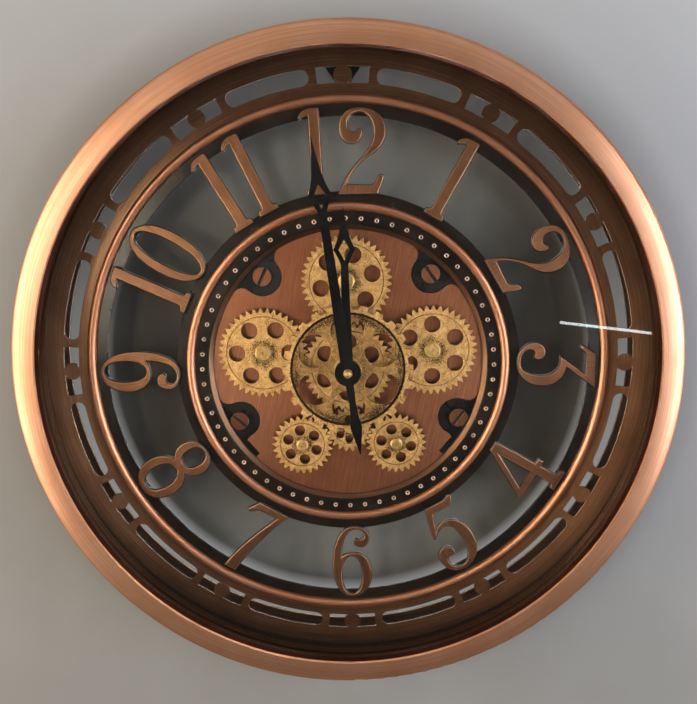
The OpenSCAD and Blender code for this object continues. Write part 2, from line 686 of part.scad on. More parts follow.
back_plate_r = lip_r + channel_w - 3;
module back_plate() {
  color(black) difference() {
    disc(back_plate_r, back_plate_z, back_plate_t);
    plate_holes(back_plate_z, back_plate_t);
    for (i = [0:3]) translate(concat(screw_at(i), back_plate_z - cut))
      cylinder(d = screw_d, h = back_plate_t + 2 * cut);
    cover_screw_places() translate([0, 0, back_plate_z - cut])
      cylinder(d = cover_screw_d, h = back_plate_t + 2 * cut);
  }
}

screw_head_h = 3.4;
module ear_screws() {
  color(copper) for (i = [0:3]) translate(concat(screw_at(i), 0)) difference() {
    union() {
      disc(screw_d / 2, back_plate_z, back_plate_t);
      disc(screw_head_d / 2, plate_z, screw_head_h);
    }
    rotate([0, 0, ear_slots[i]])
      translate([-screw_head_d, -screw_slot_w / 2, plate_z + screw_head_h / 2])
      cube([2 * screw_head_d, screw_slot_w, screw_head_h]);
  }
}

// Gear train

satellite_pivots = [for (a = satellite_turn) polar(satellite_ring_r, a)];
planet_pivots = [planet_left_at, planet_right_at];
pivots = concat(satellite_pivots, planet_pivots);
satellite_hole_ring_r = satellite_r * 0.61;
planet_hole_ring_r = planet_r * 0.53;
idler_hole_ring_r = idler_r * 0.48;

module satellite(i) {
  fine_gear(satellite_teeth, satellite_pivots[i],
    mesh_turn(sun_phase, sun_teeth, satellite_teeth, satellite_turn[i]),
    pivot_d / 2 + run_gap, satellite_hole_d, satellite_hole_ring_r, satellite_holes[i]);
}
module satellite_top() satellite(0);
module satellite_left() satellite(1);
module satellite_right() satellite(2);

module planet_left() {
  fine_gear(planet_teeth, planet_left_at, planet_left_phase, pivot_d / 2 + run_gap, planet_hole_d,
    planet_hole_ring_r, planet_holes[0]);
}
module planet_right() {
  fine_gear(planet_teeth, planet_right_at, planet_right_phase, pivot_d / 2 + run_gap, planet_hole_d,
    planet_hole_ring_r, planet_holes[1]);
}

module idler_gear() {
  fine_gear(idler_teeth, idler_at, idler_phase, motor_shaft_d / 2, idler_hole_d, idler_hole_ring_r, 30);
}

module sun_gear() {
  fine_gear(sun_teeth, [0, 0], sun_phase, wheel_tube_d / 2, satellite_hole_d, sun_r * 0.61, 28);
}

// Headed pin: shoulder on the plate, journal in the gear, head in front
module pivot(at, cap_d) {
  shoulder_d = pivot_d + 5;
  cap_z = gear_front + side_gap;
  dimple = cap_h / 2;
  color(brass) translate(concat(at, 0)) difference() {
    union() {
      disc(pivot_d / 2, back_plate_z, plate_front - back_plate_z);
      disc(shoulder_d / 2, plate_front, gear_lift - side_gap);
      disc(pivot_d / 2, gear_z - side_gap, gear_t + 2 * side_gap);
      disc(cap_d / 2, cap_z, cap_h - cap_h / 3);
      translate([0, 0, cap_z + cap_h - cap_h / 3])
        cylinder(d1 = cap_d, d2 = cap_d - cap_h, h = cap_h / 3);
    }
    translate([0, 0, cap_z + cap_h - dimple]) cylinder(d1 = cap_d / 20, d2 = cap_d / 2.5, h = dimple + cut);
  }
}
module large_pivots() {
  for (p = satellite_pivots) pivot(p, satellite_cap_d);
}
module small_pivots() {
  for (p = planet_pivots) pivot(p, planet_cap_d);
}

// Open wheel with coarse square teeth, a raised rim and a sunk web with round windows
wheel_root_r = wheel_d / 2 - wheel_tooth_h;
wheel_rim_in_r = wheel_root_r - wheel_rim_w;
wheel_hub_r = wheel_tube_d / 2 + 5;
function wheel_outline() =
  let (tip_r = wheel_d / 2,
       tip_a = asin(wheel_tooth_w / 2 / tip_r),
       root_a = asin((wheel_tooth_w / 2 + 0.9) / wheel_root_r),
       space = 360 / wheel_teeth)
  [for (k = [0:wheel_teeth - 1]) each [
    polar(wheel_root_r, k * space - root_a), polar(tip_r, k * space - tip_a),
    polar(tip_r, k * space + tip_a), polar(wheel_root_r, k * space + root_a)]];

module central_wheel() {
  web_z = wheel_z + (wheel_t - wheel_web_t) / 2;
  color(gold) difference() {
    union() {
      difference() {
        translate([0, 0, wheel_z]) linear_extrude(wheel_t) polygon(wheel_outline());
        disc(wheel_rim_in_r, wheel_z - cut, wheel_t + 2 * cut);
      }
      difference() {
        disc(wheel_rim_in_r + wheel_rim_w / 2, web_z, wheel_web_t);
        for (k = [0:5]) rotate([0, 0, 30 + 60 * k]) translate([wheel_window_ring_d / 2, 0, 0])
          disc(wheel_window_d / 2, web_z - cut, wheel_web_t + 2 * cut);
      }
      disc(wheel_hub_r, wheel_z, wheel_t);
    }
    disc(wheel_tube_d / 2, wheel_z - cut, wheel_t + 2 * cut);
  }
}

stem_nut_t = 2.5;
module wheel_tube() {
  foot = plate_front + stem_nut_t + side_gap;
  color(brass) ring(stem_d / 2 + run_gap, wheel_tube_d / 2, foot, tube_top - foot);
}

// Gear motor behind the back plate, with the idler on its shaft

motor_h = 12;
shaft_foot = back_plate_z - motor_h + 2;
module gear_motor() {
  color(plastic) translate(concat(idler_at, 0)) difference() {
    union() {
      disc(motor_d / 2, back_plate_z - motor_h, motor_h);
      translate([-motor_d / 2 - 6, -6, back_plate_z - 3]) cube([motor_d + 12, 12, 3]);
    }
    disc(motor_shaft_d / 2 + run_gap, shaft_foot - side_gap, motor_h);
  }
}

module idler_shaft() {
  color(steel) translate(concat(idler_at, 0)) {
    disc(motor_shaft_d / 2, shaft_foot, gear_front + 1 - shaft_foot);
    disc(motor_shaft_d / 2 + 2, gear_z - 1.5, 1.5);
  }
}

// Two leads from the battery tray round the movement to the motor
lead_d = 1.6;
lead_gap = 3;
module lead(shift) {
  x = -movement_w / 2 - 5 - shift;
  z = back_plate_z - lead_d / 2 - seat_gap;
  top = [x, tray_y - tray_h / 2 + lead_gap + shift];
  low = [x, idler_at[1] + lead_gap / 2 - shift];
  ends = [[-tray_w / 2 - seat_gap, top[1]], top, low, [-motor_d / 2 - 6 - seat_gap, low[1]]];
  for (i = [0:2]) lead_run(concat(ends[i], z), concat(ends[i + 1], z));
  for (i = [1, 2]) translate(concat(ends[i], z)) sphere(d = lead_d);
}
module lead_run(p, q) {
  d = q - p;
  translate(p) rotate([0, 0, atan2(d[1], d[0])]) rotate([0, 90, 0]) cylinder(d = lead_d, h = norm(d));
}
module motor_leads() {
  color("#7a1f1a") for (shift = [0, lead_gap]) lead(shift);
}

// Quartz movement on its stem

cell_gap = 0.3;
cell_z = movement_z + cell_d / 2 + cell_gap;
cell_y = -movement_w / 2 + cell_d / 2 + 3;
knob_at = [-12, 11];
knob_pin_d = 3;
knob_pin_len = 5;
module movement_case() {
  corner = 3;
  inset = movement_w / 2 - corner;
  color(plastic) difference() {
    translate([0, 0, movement_z]) {
      translate([-inset, -movement_w / 2, 0]) cube([2 * inset, movement_w, movement_depth]);
      translate([-movement_w / 2, -inset, 0]) cube([movement_w, 2 * inset, movement_depth]);
      for (x = [-inset, inset], y = [-inset, inset]) translate([x, y, 0])
        cylinder(r = corner, h = movement_depth);
    }
    translate([-cell_len / 2 - cell_gap, cell_y, cell_z]) rotate([0, 90, 0])
      cylinder(d = cell_d + 2 * cell_gap, h = cell_len + 2 * cell_gap);
    translate([-cell_len / 2 - cell_gap, cell_y - cell_d / 2 - cell_gap, movement_z - cut])
      cube([cell_len + 2 * cell_gap, cell_d + 2 * cell_gap, cell_z - movement_z + cut]);
    translate(concat(knob_at, movement_z - cut))
      cylinder(d = knob_pin_d + 2 * run_gap, h = knob_pin_len + cut);
  }
}

module movement_washer() {
  color(black) ring(stem_d / 2 + seat_gap, 12, back_plate_z - washer_t, washer_t);
}

module stem() {
  color(brass) ring(hour_tube_d / 2 + run_gap, stem_d / 2, movement_z + movement_depth,
    stem_top - movement_z - movement_depth);
}

module stem_nut() {
  color(brass) difference() {
    translate([0, 0, plate_front]) cylinder(d = 15, h = stem_nut_t, $fn = 6);
    disc(stem_d / 2, plate_front - cut, stem_nut_t + 2 * cut);
  }
}

module stem_collar() {
  color(brass) ring(stem_d / 2, stem_d / 2 + 4, collar_z, collar_t);
}

arbor_foot = movement_z + movement_depth + side_gap;
module hour_tube() {
  color(brass) ring(minute_arbor_d / 2 + run_gap, hour_tube_d / 2, arbor_foot, hour_z + hand_t - arbor_foot);
}

nut_thread = 2.5;
module minute_arbor() {
  color(steel) disc(minute_arbor_d / 2, arbor_foot, nut_z + nut_thread - arbor_foot);
}

module set_knob() {
  flutes = 18;
  color(plastic) translate(concat(knob_at, 0)) difference() {
    union() {
      disc(knob_d / 2, knob_z, knob_t);
      disc(knob_pin_d / 2, knob_z, knob_t + side_gap + knob_pin_len - side_gap);
    }
    for (k = [0:flutes - 1]) rotate([0, 0, 360 / flutes * k]) translate([knob_d / 2 + 0.35, 0, knob_z - cut])
      cylinder(d = 1.6, h = knob_t + 2 * cut);
  }
}

module cell() {
  color(steel) rotate([0, 90, 0]) {
    translate([0, 0, -cell_len / 2]) cylinder(d = cell_d, h = cell_len - 1);
    translate([0, 0, cell_len / 2 - 1]) cylinder(d = 5.5, h = 1);
  }
}

module clock_battery() {
  translate([0, cell_y, cell_z]) cell();
}

// Hands: a tapered blade, a pierced lozenge and a concave spear tip

// Right half of a blade towards +Y: reach, lozenge half width, its middle and half its pierced length
function blade_half(len, wide, mid, eye) = [[wide * 0.5, hand_boss_d / 2 - 1.5], [wide * 0.34, mid - eye - 4],
  [wide * 0.42, mid - eye, wide * 0.7, mid - eye * 0.5, wide, mid],
  [wide * 0.6, mid + eye * 0.75, wide * 0.3, mid + eye * 1.6, wide * 0.02, len]];
// Right half of the tail, from its point up to the boss
tail_half = 5;
tail_mid = 0.66 * tail_len;
tail = [[0.4, -tail_len], [tail_half, -tail_mid],
  [4.4, -tail_mid + 3, 3.4, -tail_mid + 6, 2.8, -tail_mid + 21], [3.4, -hand_boss_d / 2 + 1.5]];
function mirrored(pts) = [for (i = [len(pts) - 1:-1:0]) [-pts[i][0], pts[i][1]]];
function hand_outline(half) = let (right = outline(half)) concat(right, mirrored(right));
function eye_outline(wide, mid, eye) = [[0, mid - eye], [wide * 0.5, mid], [0, mid + eye * 0.9],
  [-wide * 0.5, mid]];

module hand(half, wide, mid, eye) {
  difference() {
    union() {
      polygon(hand_outline(half));
      circle(d = hand_boss_d);
    }
    polygon(eye_outline(wide, mid, eye));
  }
}

minute_angle = 6 * minutes_shown;
hour_angle = 330 + minutes_shown / 2;
minute_mid = 0.757 * minute_len;
minute_eye = 10.5;
module minute_hand() {
  half = concat(tail, blade_half(minute_len, minute_lozenge, minute_mid, minute_eye));
  color(black) rotate([0, 0, -minute_angle]) translate([0, 0, minute_z]) difference() {
    linear_extrude(hand_t) hand(half, minute_lozenge, minute_mid, minute_eye);
    translate([0, 0, -cut]) cylinder(d = minute_arbor_d, h = hand_t + 2 * cut);
  }
}

hour_mid = 0.752 * hour_len;
hour_eye = 9;
collet_h = 2.5;
module hour_hand() {
  half = concat([[3, -2]], blade_half(hour_len, hour_lozenge, hour_mid, hour_eye));
  color(black) rotate([0, 0, -hour_angle]) translate([0, 0, hour_z]) difference() {
    union() {
      linear_extrude(hand_t) hand(half, hour_lozenge, hour_mid, hour_eye);
      translate([0, 0, -collet_h]) cylinder(d = hour_tube_d + 4, h = collet_h + hand_t / 2);
    }
    translate([0, 0, -collet_h - cut]) cylinder(d = hour_tube_d, h = collet_h + hand_t + 2 * cut);
  }
}

module hand_nut() {
  dome = nut_d * 0.35;
  color(brass) translate([0, 0, nut_z]) difference() {
    rotate_extrude() intersection() {
      union() {
        square([nut_d / 2, nut_h - dome]);
        translate([0, nut_h - nut_d / 2]) circle(d = nut_d);
      }
      square([nut_d, nut_h]);
    }
    translate([0, 0, -cut]) cylinder(d = minute_arbor_d, h = nut_thread + cut + seat_gap);
  }
}

// Back cover with the battery tray of the gear motor

tray_w = cell_len + 8;
tray_h = 2 * cell_d + 6;
tray_y = movement_w / 2 + 8 + tray_h / 2;
tray_z = movement_z + 2;
cover_z = movement_z + 0.5;
cell_rows = [tray_y - cell_d / 2 - 0.8, tray_y + cell_d / 2 + 0.8];
module battery_tray() {
  color(plastic) difference() {
    translate([-tray_w / 2, tray_y - tray_h / 2, tray_z]) cube([tray_w, tray_h, back_plate_z - tray_z]);
    for (y = cell_rows) {
      translate([-cell_len / 2 - cell_gap, y, tray_cell_z]) rotate([0, 90, 0])
        cylinder(d = cell_d + 2 * cell_gap, h = cell_len + 2 * cell_gap);
      translate([-cell_len / 2 - cell_gap, y - cell_d / 2 - cell_gap, tray_z - cut])
        cube([cell_len + 2 * cell_gap, cell_d + 2 * cell_gap, tray_cell_z - tray_z + cut]);
    }
  }
}

tray_cell_z = back_plate_z - cell_d / 2 - 1.2;
module gear_batteries() {
  for (i = [0, 1]) translate([0, cell_rows[i], tray_cell_z]) rotate([0, 0, 180 * i]) cell();
}

cover_screw_d = 3;
cover_screw_head_d = 6;
cover_screw_ring_r = 104;
cover_boss_r = 5;
module cover_screw_places() {
  for (a = [20, 70, 110, 160, 230, 310]) rotate([0, 0, a]) translate([cover_screw_ring_r, 0, 0]) children();
}

// Rails on the back of the cover, in which the battery door slides up
door_t = 1.5;
door_z = cover_z - side_gap - door_t;
door_w = tray_w + 4;
door_h = tray_h + 2;
rail_w = 3;
rail_len = door_h + 22;
rail_lip = 2;
rail_foot = 0.8;
module door_rails() {
  low = door_z - side_gap - rail_foot;
  x = door_w / 2 + side_gap;
  y = tray_y - door_h / 2;
  for (side = [0, 1]) mirror([side, 0, 0]) {
    translate([x, y, low]) cube([rail_w, rail_len, cover_z + cover_t / 2 - low]);
    translate([x - rail_lip, y, low]) cube([rail_lip + rail_w / 2, rail_len, rail_foot]);
  }
  translate([-x - rail_w, y - side_gap - rail_w, low])
    cube([2 * x + 2 * rail_w, rail_w, cover_z + cover_t / 2 - low]);
}

module back_cover() {
  window = movement_w + 1;
  color(plastic) difference() {
    union() {
      difference() {
        disc(cover_r, cover_z, ring_z - cover_z);
        disc(cover_r - cover_t, cover_z + cover_t, ring_z);
      }
      cover_screw_places() disc(cover_boss_r, cover_z, back_plate_z - cover_z);
      door_rails();
    }
    translate([-window / 2, -window / 2, cover_z - cut]) cube([window, window, cover_t + 2 * cut]);
    translate([-tray_w / 2 + 2, tray_y - tray_h / 2 + 2, cover_z - cut])
      cube([tray_w - 4, tray_h - 4, cover_t + 2 * cut]);
    cover_screw_places() translate([0, 0, cover_z - cut])
      cylinder(d = cover_screw_d + 2 * seat_gap, h = back_plate_z);
  }
}

module cover_screws() {
  color(steel) cover_screw_places() {
    disc(cover_screw_d / 2, cover_z, back_plate_z + back_plate_t - cover_z);
    disc(cover_screw_head_d / 2, cover_z - 1.6, 1.6);
  }
}

module battery_door() {
  grip = 14;
  color(plastic) difference() {
    translate([-door_w / 2, tray_y - door_h / 2, door_z]) cube([door_w, door_h, door_t]);
    for (k = [0:3]) translate([-grip / 2, tray_y + door_h / 4 + 1.8 * k, door_z - cut])
      cube([grip, 0.9, cut + 0.5]);
  }
}

// Hanger plate on the rear flange, tapering down behind the 12 o'clock disc

hanger_rivet_d = 4;
hanger_rivet_head_d = 7;
hanger_half_w = 17;
module hanger_rivet_places() {
  for (x = [-12, 12]) translate([x, rear_flange_r + 3.5, 0]) children();
}
module hanger_plate() {
  foot_y = keyhole_y - keyhole_d;
  slot_top = keyhole_y + keyhole_rise - keyhole_slot_w / 2;
  top_y = drum_in_r - 2;
  color(black) {
    translate([0, 0, hanger_z]) linear_extrude(hanger_t) difference() {
      polygon([[-5, foot_y], [5, foot_y], [hanger_half_w, rear_flange_r + 1], [hanger_half_w, top_y],
        [-hanger_half_w, top_y], [-hanger_half_w, rear_flange_r + 1]]);
      translate([0, keyhole_y]) circle(d = keyhole_d);
      translate([0, slot_top]) circle(d = keyhole_slot_w);
      translate([-keyhole_slot_w / 2, keyhole_y]) square([keyhole_slot_w, slot_top - keyhole_y]);
    }
    hanger_rivet_places() {
      disc(hanger_rivet_d / 2, seat_gap, hanger_z + hanger_t - seat_gap);
      disc(hanger_rivet_head_d / 2, hanger_z + hanger_t, 1.2);
    }
  }
}

on_wall() bezel();
on_wall() case_drum();
on_wall() glass();
on_wall() glass_gasket();
on_wall() bezel_screws();
on_wall() chapter_ring();
on_wall() chapter_bead();
on_wall() dial_ring();
on_wall() numeral_1();
on_wall() numeral_2();
on_wall() numeral_3();
on_wall() numeral_4();
on_wall() numeral_5();
on_wall() numeral_6();
on_wall() numeral_7();
on_wall() numeral_8();
on_wall() numeral_9();
on_wall() numeral_10();
on_wall() numeral_11();
on_wall() numeral_12();
on_wall() centre_ring();
on_wall() centre_bead();
on_wall() stud_channel();
on_wall() studs();
on_wall() plate_lip();
on_wall() gear_plate();
on_wall() back_plate();
on_wall() ear_screws();
on_wall() central_wheel();
on_wall() sun_gear();
on_wall() wheel_tube();
on_wall() satellite_top();
on_wall() satellite_left();
on_wall() satellite_right();
on_wall() planet_left();
on_wall() planet_right();
on_wall() idler_gear();
on_wall() idler_shaft();
on_wall() large_pivots();
on_wall() small_pivots();
on_wall() gear_motor();
on_wall() motor_leads();
on_wall() movement_case();
on_wall() movement_washer();
on_wall() stem();
on_wall() stem_nut();
on_wall() stem_collar();
on_wall() hour_tube();
on_wall() minute_arbor();
on_wall() hour_hand();
on_wall() minute_hand();
on_wall() hand_nut();
on_wall() set_knob();
on_wall() clock_battery();
on_wall() battery_tray();
on_wall() gear_batteries();
on_wall() battery_door();
on_wall() back_cover();
on_wall() cover_screws();
on_wall() hanger_plate();
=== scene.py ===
# %% [markdown]
# # A gear wall clock with an open dial
# The clock is a round copper case over a dial of cut numerals, with a gear train turning in the middle.
# Its solids come packed from the CAD model and stay where they are. This lesson gives them their
# finishes, breaks their sharp edges, sweeps the beads and eyelets afresh, and hangs the clock on a grey
# wall in soft light.

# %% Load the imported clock
import json
import math

import bmesh
import bpy
from mathutils import Matrix, Vector


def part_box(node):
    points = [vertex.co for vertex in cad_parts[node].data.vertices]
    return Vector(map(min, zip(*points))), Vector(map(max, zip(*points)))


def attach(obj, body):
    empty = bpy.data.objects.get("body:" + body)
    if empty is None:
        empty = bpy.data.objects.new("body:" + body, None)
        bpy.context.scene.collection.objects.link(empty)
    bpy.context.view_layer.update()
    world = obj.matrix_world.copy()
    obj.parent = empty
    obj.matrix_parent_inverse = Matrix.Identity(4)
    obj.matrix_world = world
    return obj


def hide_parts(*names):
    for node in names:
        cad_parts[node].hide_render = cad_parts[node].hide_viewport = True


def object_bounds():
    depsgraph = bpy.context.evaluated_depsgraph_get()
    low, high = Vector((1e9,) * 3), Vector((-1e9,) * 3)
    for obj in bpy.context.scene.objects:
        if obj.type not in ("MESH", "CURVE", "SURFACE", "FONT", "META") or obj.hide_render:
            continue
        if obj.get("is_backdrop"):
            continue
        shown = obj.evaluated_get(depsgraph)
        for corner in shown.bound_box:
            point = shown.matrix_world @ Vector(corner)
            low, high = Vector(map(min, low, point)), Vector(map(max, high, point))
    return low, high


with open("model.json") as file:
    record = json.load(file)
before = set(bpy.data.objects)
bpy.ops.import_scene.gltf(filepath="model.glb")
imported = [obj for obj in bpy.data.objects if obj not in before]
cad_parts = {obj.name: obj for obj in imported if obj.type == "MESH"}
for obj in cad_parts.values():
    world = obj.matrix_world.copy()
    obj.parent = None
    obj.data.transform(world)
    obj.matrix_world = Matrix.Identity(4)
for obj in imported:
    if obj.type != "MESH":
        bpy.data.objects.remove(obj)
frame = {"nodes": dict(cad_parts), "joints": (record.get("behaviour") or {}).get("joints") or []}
cad_low, cad_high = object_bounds()
nodes = frame["nodes"]
print("nodes:", len(nodes), "CAD box:", [round(v, 4) for v in (*cad_low, *cad_high)])

# %% [markdown]
# ## Where things are
# Every gear turns about a joint, so the joints already say where each hub sits. The minute joint is the
# middle of the dial, and the rear of the drum is the wall. A drawing of the dial is in millimetres,
# right, up and out of the wall, so one small function turns such a point into the frame's metres.

# %% Measure the dial
MM = 0.001
hubs = {joint["name"]: Vector(joint["pos_m"]) for joint in frame["joints"] if joint["type"] == "hinge"}
AXIS = Vector((hubs["minute_turn"].x, 0.0, hubs["minute_turn"].z))
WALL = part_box("case_drum")[1].y


def on_dial(x, y, z):
    """A point of the dial drawing, in mm to the right, up and out of the wall, as a point of the frame."""
    return Vector((AXIS.x + x * MM, WALL - z * MM, AXIS.z + y * MM))


def heights(node):
    """How far a node's back and front stand off the wall, in mm."""
    low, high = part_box(node)
    return (WALL - high.y) / MM, (WALL - low.y) / MM


print("dial middle:", [round(v, 4) for v in AXIS])
print("the dial ring stands off the wall by", [round(h, 2) for h in heights("dial_ring")], "mm")

# %% [markdown]
# ## The camera
# The photograph was taken close up and from a little above the middle of the dial, looking slightly down.
# A camera that is fitted to the ring of eyelets and the hour discs gives its place and its three axes.
# The focal length is 620 pixels on a picture 697 pixels wide, so a 36 mm sensor takes a 32 mm lens.

# %% Set up the camera
PHOTO_WIDTH = 697
FOCAL_PIXELS = 620
SENSOR_MM = 36.0
camera_data = bpy.data.cameras.new("photo_camera")
camera_data.sensor_fit = "HORIZONTAL"
camera_data.sensor_width = SENSOR_MM
camera_data.lens = FOCAL_PIXELS * SENSOR_MM / PHOTO_WIDTH
camera_data.clip_start = 0.01
camera = bpy.data.objects.new("photo_camera", camera_data)
bpy.context.scene.collection.objects.link(camera)
right = Vector((0.99984, 0.00343, -0.01756))
up = Vector((0.01679, 0.15985, 0.98700))
backward = Vector((0.00619, -0.98714, 0.15976))
stand = Matrix.Translation((0.004062, -0.564404, -0.150336))
camera.matrix_world = stand @ Matrix((right, up, backward)).transposed().to_4x4()
bpy.context.scene.camera = camera
bpy.context.scene.view_settings.view_transform = "Standard"
print("lens:", round(camera_data.lens, 2), "mm")

# %% [markdown]
# ## Small helpers for materials
# A finish is a web of nodes around one shader. Hex colours are what the eye reads off a screen, and a
# shader wants linear light, so one function converts them. Another adds a node with its settings and its
# links. Three more name the steps that nearly every finish takes: two tones, a range of numbers, and a
# relief.

# %% Helpers that build a finish


def hue(code):
    """An sRGB hex colour as the linear colour of a shader."""
    parts = [int(code[i : i + 2], 16) / 255 for i in (1, 3, 5)]
    return (*[c / 12.92 if c <= 0.04045 else ((c + 0.055) / 1.055) ** 2.4 for c in parts], 1.0)


def wire(tree, node, feeds):
    """Links or sets a node's inputs."""
    for socket, value in feeds.items():
        if isinstance(value, bpy.types.NodeSocket):
            tree.links.new(value, node.inputs[socket])
        else:
            node.inputs[socket].default_value = value
    return node


def add(tree, kind, feeds=None, **settings):
    """Adds one node with its settings and its inputs."""
    node = tree.nodes.new(kind)
    for name, value in settings.items():
        setattr(node, name, value)
    return wire(tree, node, feeds or {})


def levels(tree, pattern, low, high, at_low, at_high):
    """Stretches a pattern between two numbers."""
    span = {"Value": pattern, "From Min": low, "From Max": high, "To Min": at_low, "To Max": at_high}
    return add(tree, "ShaderNodeMapRange", span).outputs["Result"]


def tones(tree, pattern, low, high, first, second):
    """Two colours, or two colour patterns, mixed by a pattern."""
    share = levels(tree, pattern, low, high, 0.0, 1.0)
    return add(tree, "ShaderNodeMix", {0: share, 6: first, 7: second}, data_type="RGBA").outputs[2]


def relief(tree, pattern, depth_mm, strength):
    """A bump of a real depth."""
    bump = {"Height": pattern, "Distance": depth_mm * MM, "Strength": strength}
    return add(tree, "ShaderNodeBump", bump).outputs["Normal"]


def finish(name, **constants):
    """A new material with the plain values of its shader set, its tree and its shader."""
    material = bpy.data.materials.new(name)
    material.use_nodes = True
    shader = material.node_tree.nodes["Principled BSDF"]
    wire(material.node_tree, shader, {label.replace("_", " "): value for label, value in constants.items()})
    return material, material.node_tree, shader


print("helpers ready; copper as linear light:", [round(c, 3) for c in hue("#b8714a")])

# %% [markdown]
# ## Patterns that the finishes share
# Brushed metal is full of fine parallel scratches. On a ring that turns against the brush they run round
# the axis, on a numeral they run along its height, which points at the middle of the dial, and on a sheet
# they run straight. Each is a noise that is squeezed across the scratches and drawn out along them. Real
# scratches are about 0.1 mm apart, too fine for this picture, so they are drawn as coarse as they need to
# be to show. Cast and aged surfaces get plain cloudy noise instead. Nearly all of a noise lies between
# 0.3 and 0.7, and a range that starts at 0.35 keeps more of the first tone. A scratch's length is
# measured at a radius of 0.2 m, and a step in depth counts 1.7 times a step in radius, so that walls
# facing the axis show their brushing too.

# %% Brushing and clouds
NOISE = (0.3, 0.7)
HAZE = (0.35, 0.7)
SCRATCH_RADIUS = 0.2
DEPTH_SHARE = 1.7


def clouds(tree, size_mm, detail=2.0):
    """Soft blotches of about one size."""
    place = add(tree, "ShaderNodeTexCoord").outputs["Object"]
    noise = {"Vector": place, "Scale": 1 / (size_mm * MM), "Detail": detail, "Roughness": 0.55}
    return add(tree, "ShaderNodeTexNoise", noise).outputs[0]


def dial_radius(tree):
    """Distance from the dial's axis in metres, the direction from it, and the depth along it."""
    place = add(tree, "ShaderNodeTexCoord").outputs["Object"]
    centred = add(tree, "ShaderNodeVectorMath", {0: place, 1: AXIS}, operation="SUBTRACT").outputs[0]
    flat = add(tree, "ShaderNodeVectorMath", {0: centred, 1: (1, 0, 1)}, operation="MULTIPLY").outputs[0]
    radius = add(tree, "ShaderNodeVectorMath", {0: flat}, operation="LENGTH").outputs["Value"]
    heading = add(tree, "ShaderNodeVectorMath", {0: flat}, operation="NORMALIZE").outputs[0]
    depth = add(tree, "ShaderNodeSeparateXYZ", {0: centred}).outputs["Y"]
    return radius, heading, depth


def brushed(tree, way, line_mm, run_mm, lean=0.0):
    """Scratches that run round the dial, along its radii, or straight up with a lean in degrees."""
    if way == "straight":
        place = add(tree, "ShaderNodeTexCoord").outputs["Object"]
        tilt = (0, math.radians(lean), 0)
        drawn = {"Vector": place, "Rotation": tilt, "Scale": (line_mm * MM, MM, run_mm * MM)}
        vector = add(tree, "ShaderNodeMapping", drawn, vector_type="TEXTURE").outputs[0]
    else:
        radius, heading, depth = dial_radius(tree)
        steps = {0: depth, 1: -DEPTH_SHARE, 2: radius}
        forward = add(tree, "ShaderNodeMath", steps, operation="MULTIPLY_ADD").outputs[0]
        along, across = (run_mm, line_mm) if way == "round" else (line_mm, run_mm)
        turn = {0: heading, "Scale": SCRATCH_RADIUS / (along * MM)}
        turned = add(tree, "ShaderNodeVectorMath", turn, operation="SCALE").outputs[0]
        step = add(tree, "ShaderNodeMath", {0: forward, 1: across * MM}, operation="DIVIDE").outputs[0]
        shift = add(tree, "ShaderNodeCombineXYZ", {"Y": step}).outputs[0]
        vector = add(tree, "ShaderNodeVectorMath", {0: turned, 1: shift}, operation="ADD").outputs[0]
    noise = {"Vector": vector, "Scale": 1.0, "Detail": 2.0, "Roughness": 0.6}
    return add(tree, "ShaderNodeTexNoise", noise).outputs[0]


print("patterns: clouds, and brushing round, along the radii or straight")

# %% [markdown]
# ## The wall's paint
# The clock hangs on a grey wall, which the open dial shows and on which the numerals throw their shadows.
# Paint on a wall is a rough dielectric with a faint mottle. Light and shade are painted into this wall: a
# painted light makes it paler towards the top right, a painted shadow of the clock makes it deeper close to
# the rim, and painted shade makes it deeper still behind the left and right of the dial, where little light
# gets. Far from the clock the paint goes black, because there the wall glows in the colour of a pale room
# instead.

# %% Mix the paint
MOTTLE_MM = 130
DIAL_EDGE_MM, RING_BACK_MM = 190, 232
RIM_MM, CLEAR_OF_RIM_MM = 262, 335
ROOM_NEAR, ROOM_FAR = 0.6, 1.3
wall_paint, tree, shader = finish("grey_wall_paint", Roughness=0.62, Specular_IOR_Level=0.35)
place = add(tree, "ShaderNodeTexCoord").outputs["Object"]
uphill = {0: place, 1: (0.35, 0.0, 1.0)}
painted_light_slant = add(tree, "ShaderNodeVectorMath", uphill, operation="DOT_PRODUCT").outputs["Value"]
from_axis = dial_radius(tree)[0]
off_axis = add(tree, "ShaderNodeVectorMath", {0: place, 1: AXIS}, operation="SUBTRACT").outputs[0]
sides = add(tree, "ShaderNodeSeparateXYZ", {0: off_axis}).outputs
sideways = add(tree, "ShaderNodeMath", {0: sides["X"]}, operation="ABSOLUTE").outputs[0]
upright = add(tree, "ShaderNodeMath", {0: sides["Z"]}, operation="ABSOLUTE").outputs[0]
lean = {0: upright, 1: -0.3, 2: sideways}
aside = add(tree, "ShaderNodeMath", lean, operation="MULTIPLY_ADD").outputs[0]

grey = tones(tree, clouds(tree, MOTTLE_MM, 3.0), *NOISE, hue("#868784"), hue("#8c8e8b"))
# painted light: the wall is painted paler towards the top right
paint = tones(tree, painted_light_slant, -0.45, 0.25, grey, hue("#a6abae"))
# painted shadow: the clock's shadow on the wall is painted round its rim
paint = tones(tree, from_axis, RIM_MM * MM, CLEAR_OF_RIM_MM * MM, hue("#6b6a66"), paint)
# painted shade: deeper paint behind the left and right of the dial, where little light gets
shade = tones(tree, aside, 70 * MM, 150 * MM, hue("#716e69"), hue("#3c362f"))
paint = tones(tree, from_axis, DIAL_EDGE_MM * MM, RING_BACK_MM * MM, shade, paint)
paint = tones(tree, from_axis, ROOM_NEAR, ROOM_FAR, paint, hue("#000000"))
wire(tree, shader, {"Base Color": paint, "Normal": relief(tree, clouds(tree, 0.8), 0.1, 0.15)})
print("wall paint:", len(tree.nodes), "nodes")
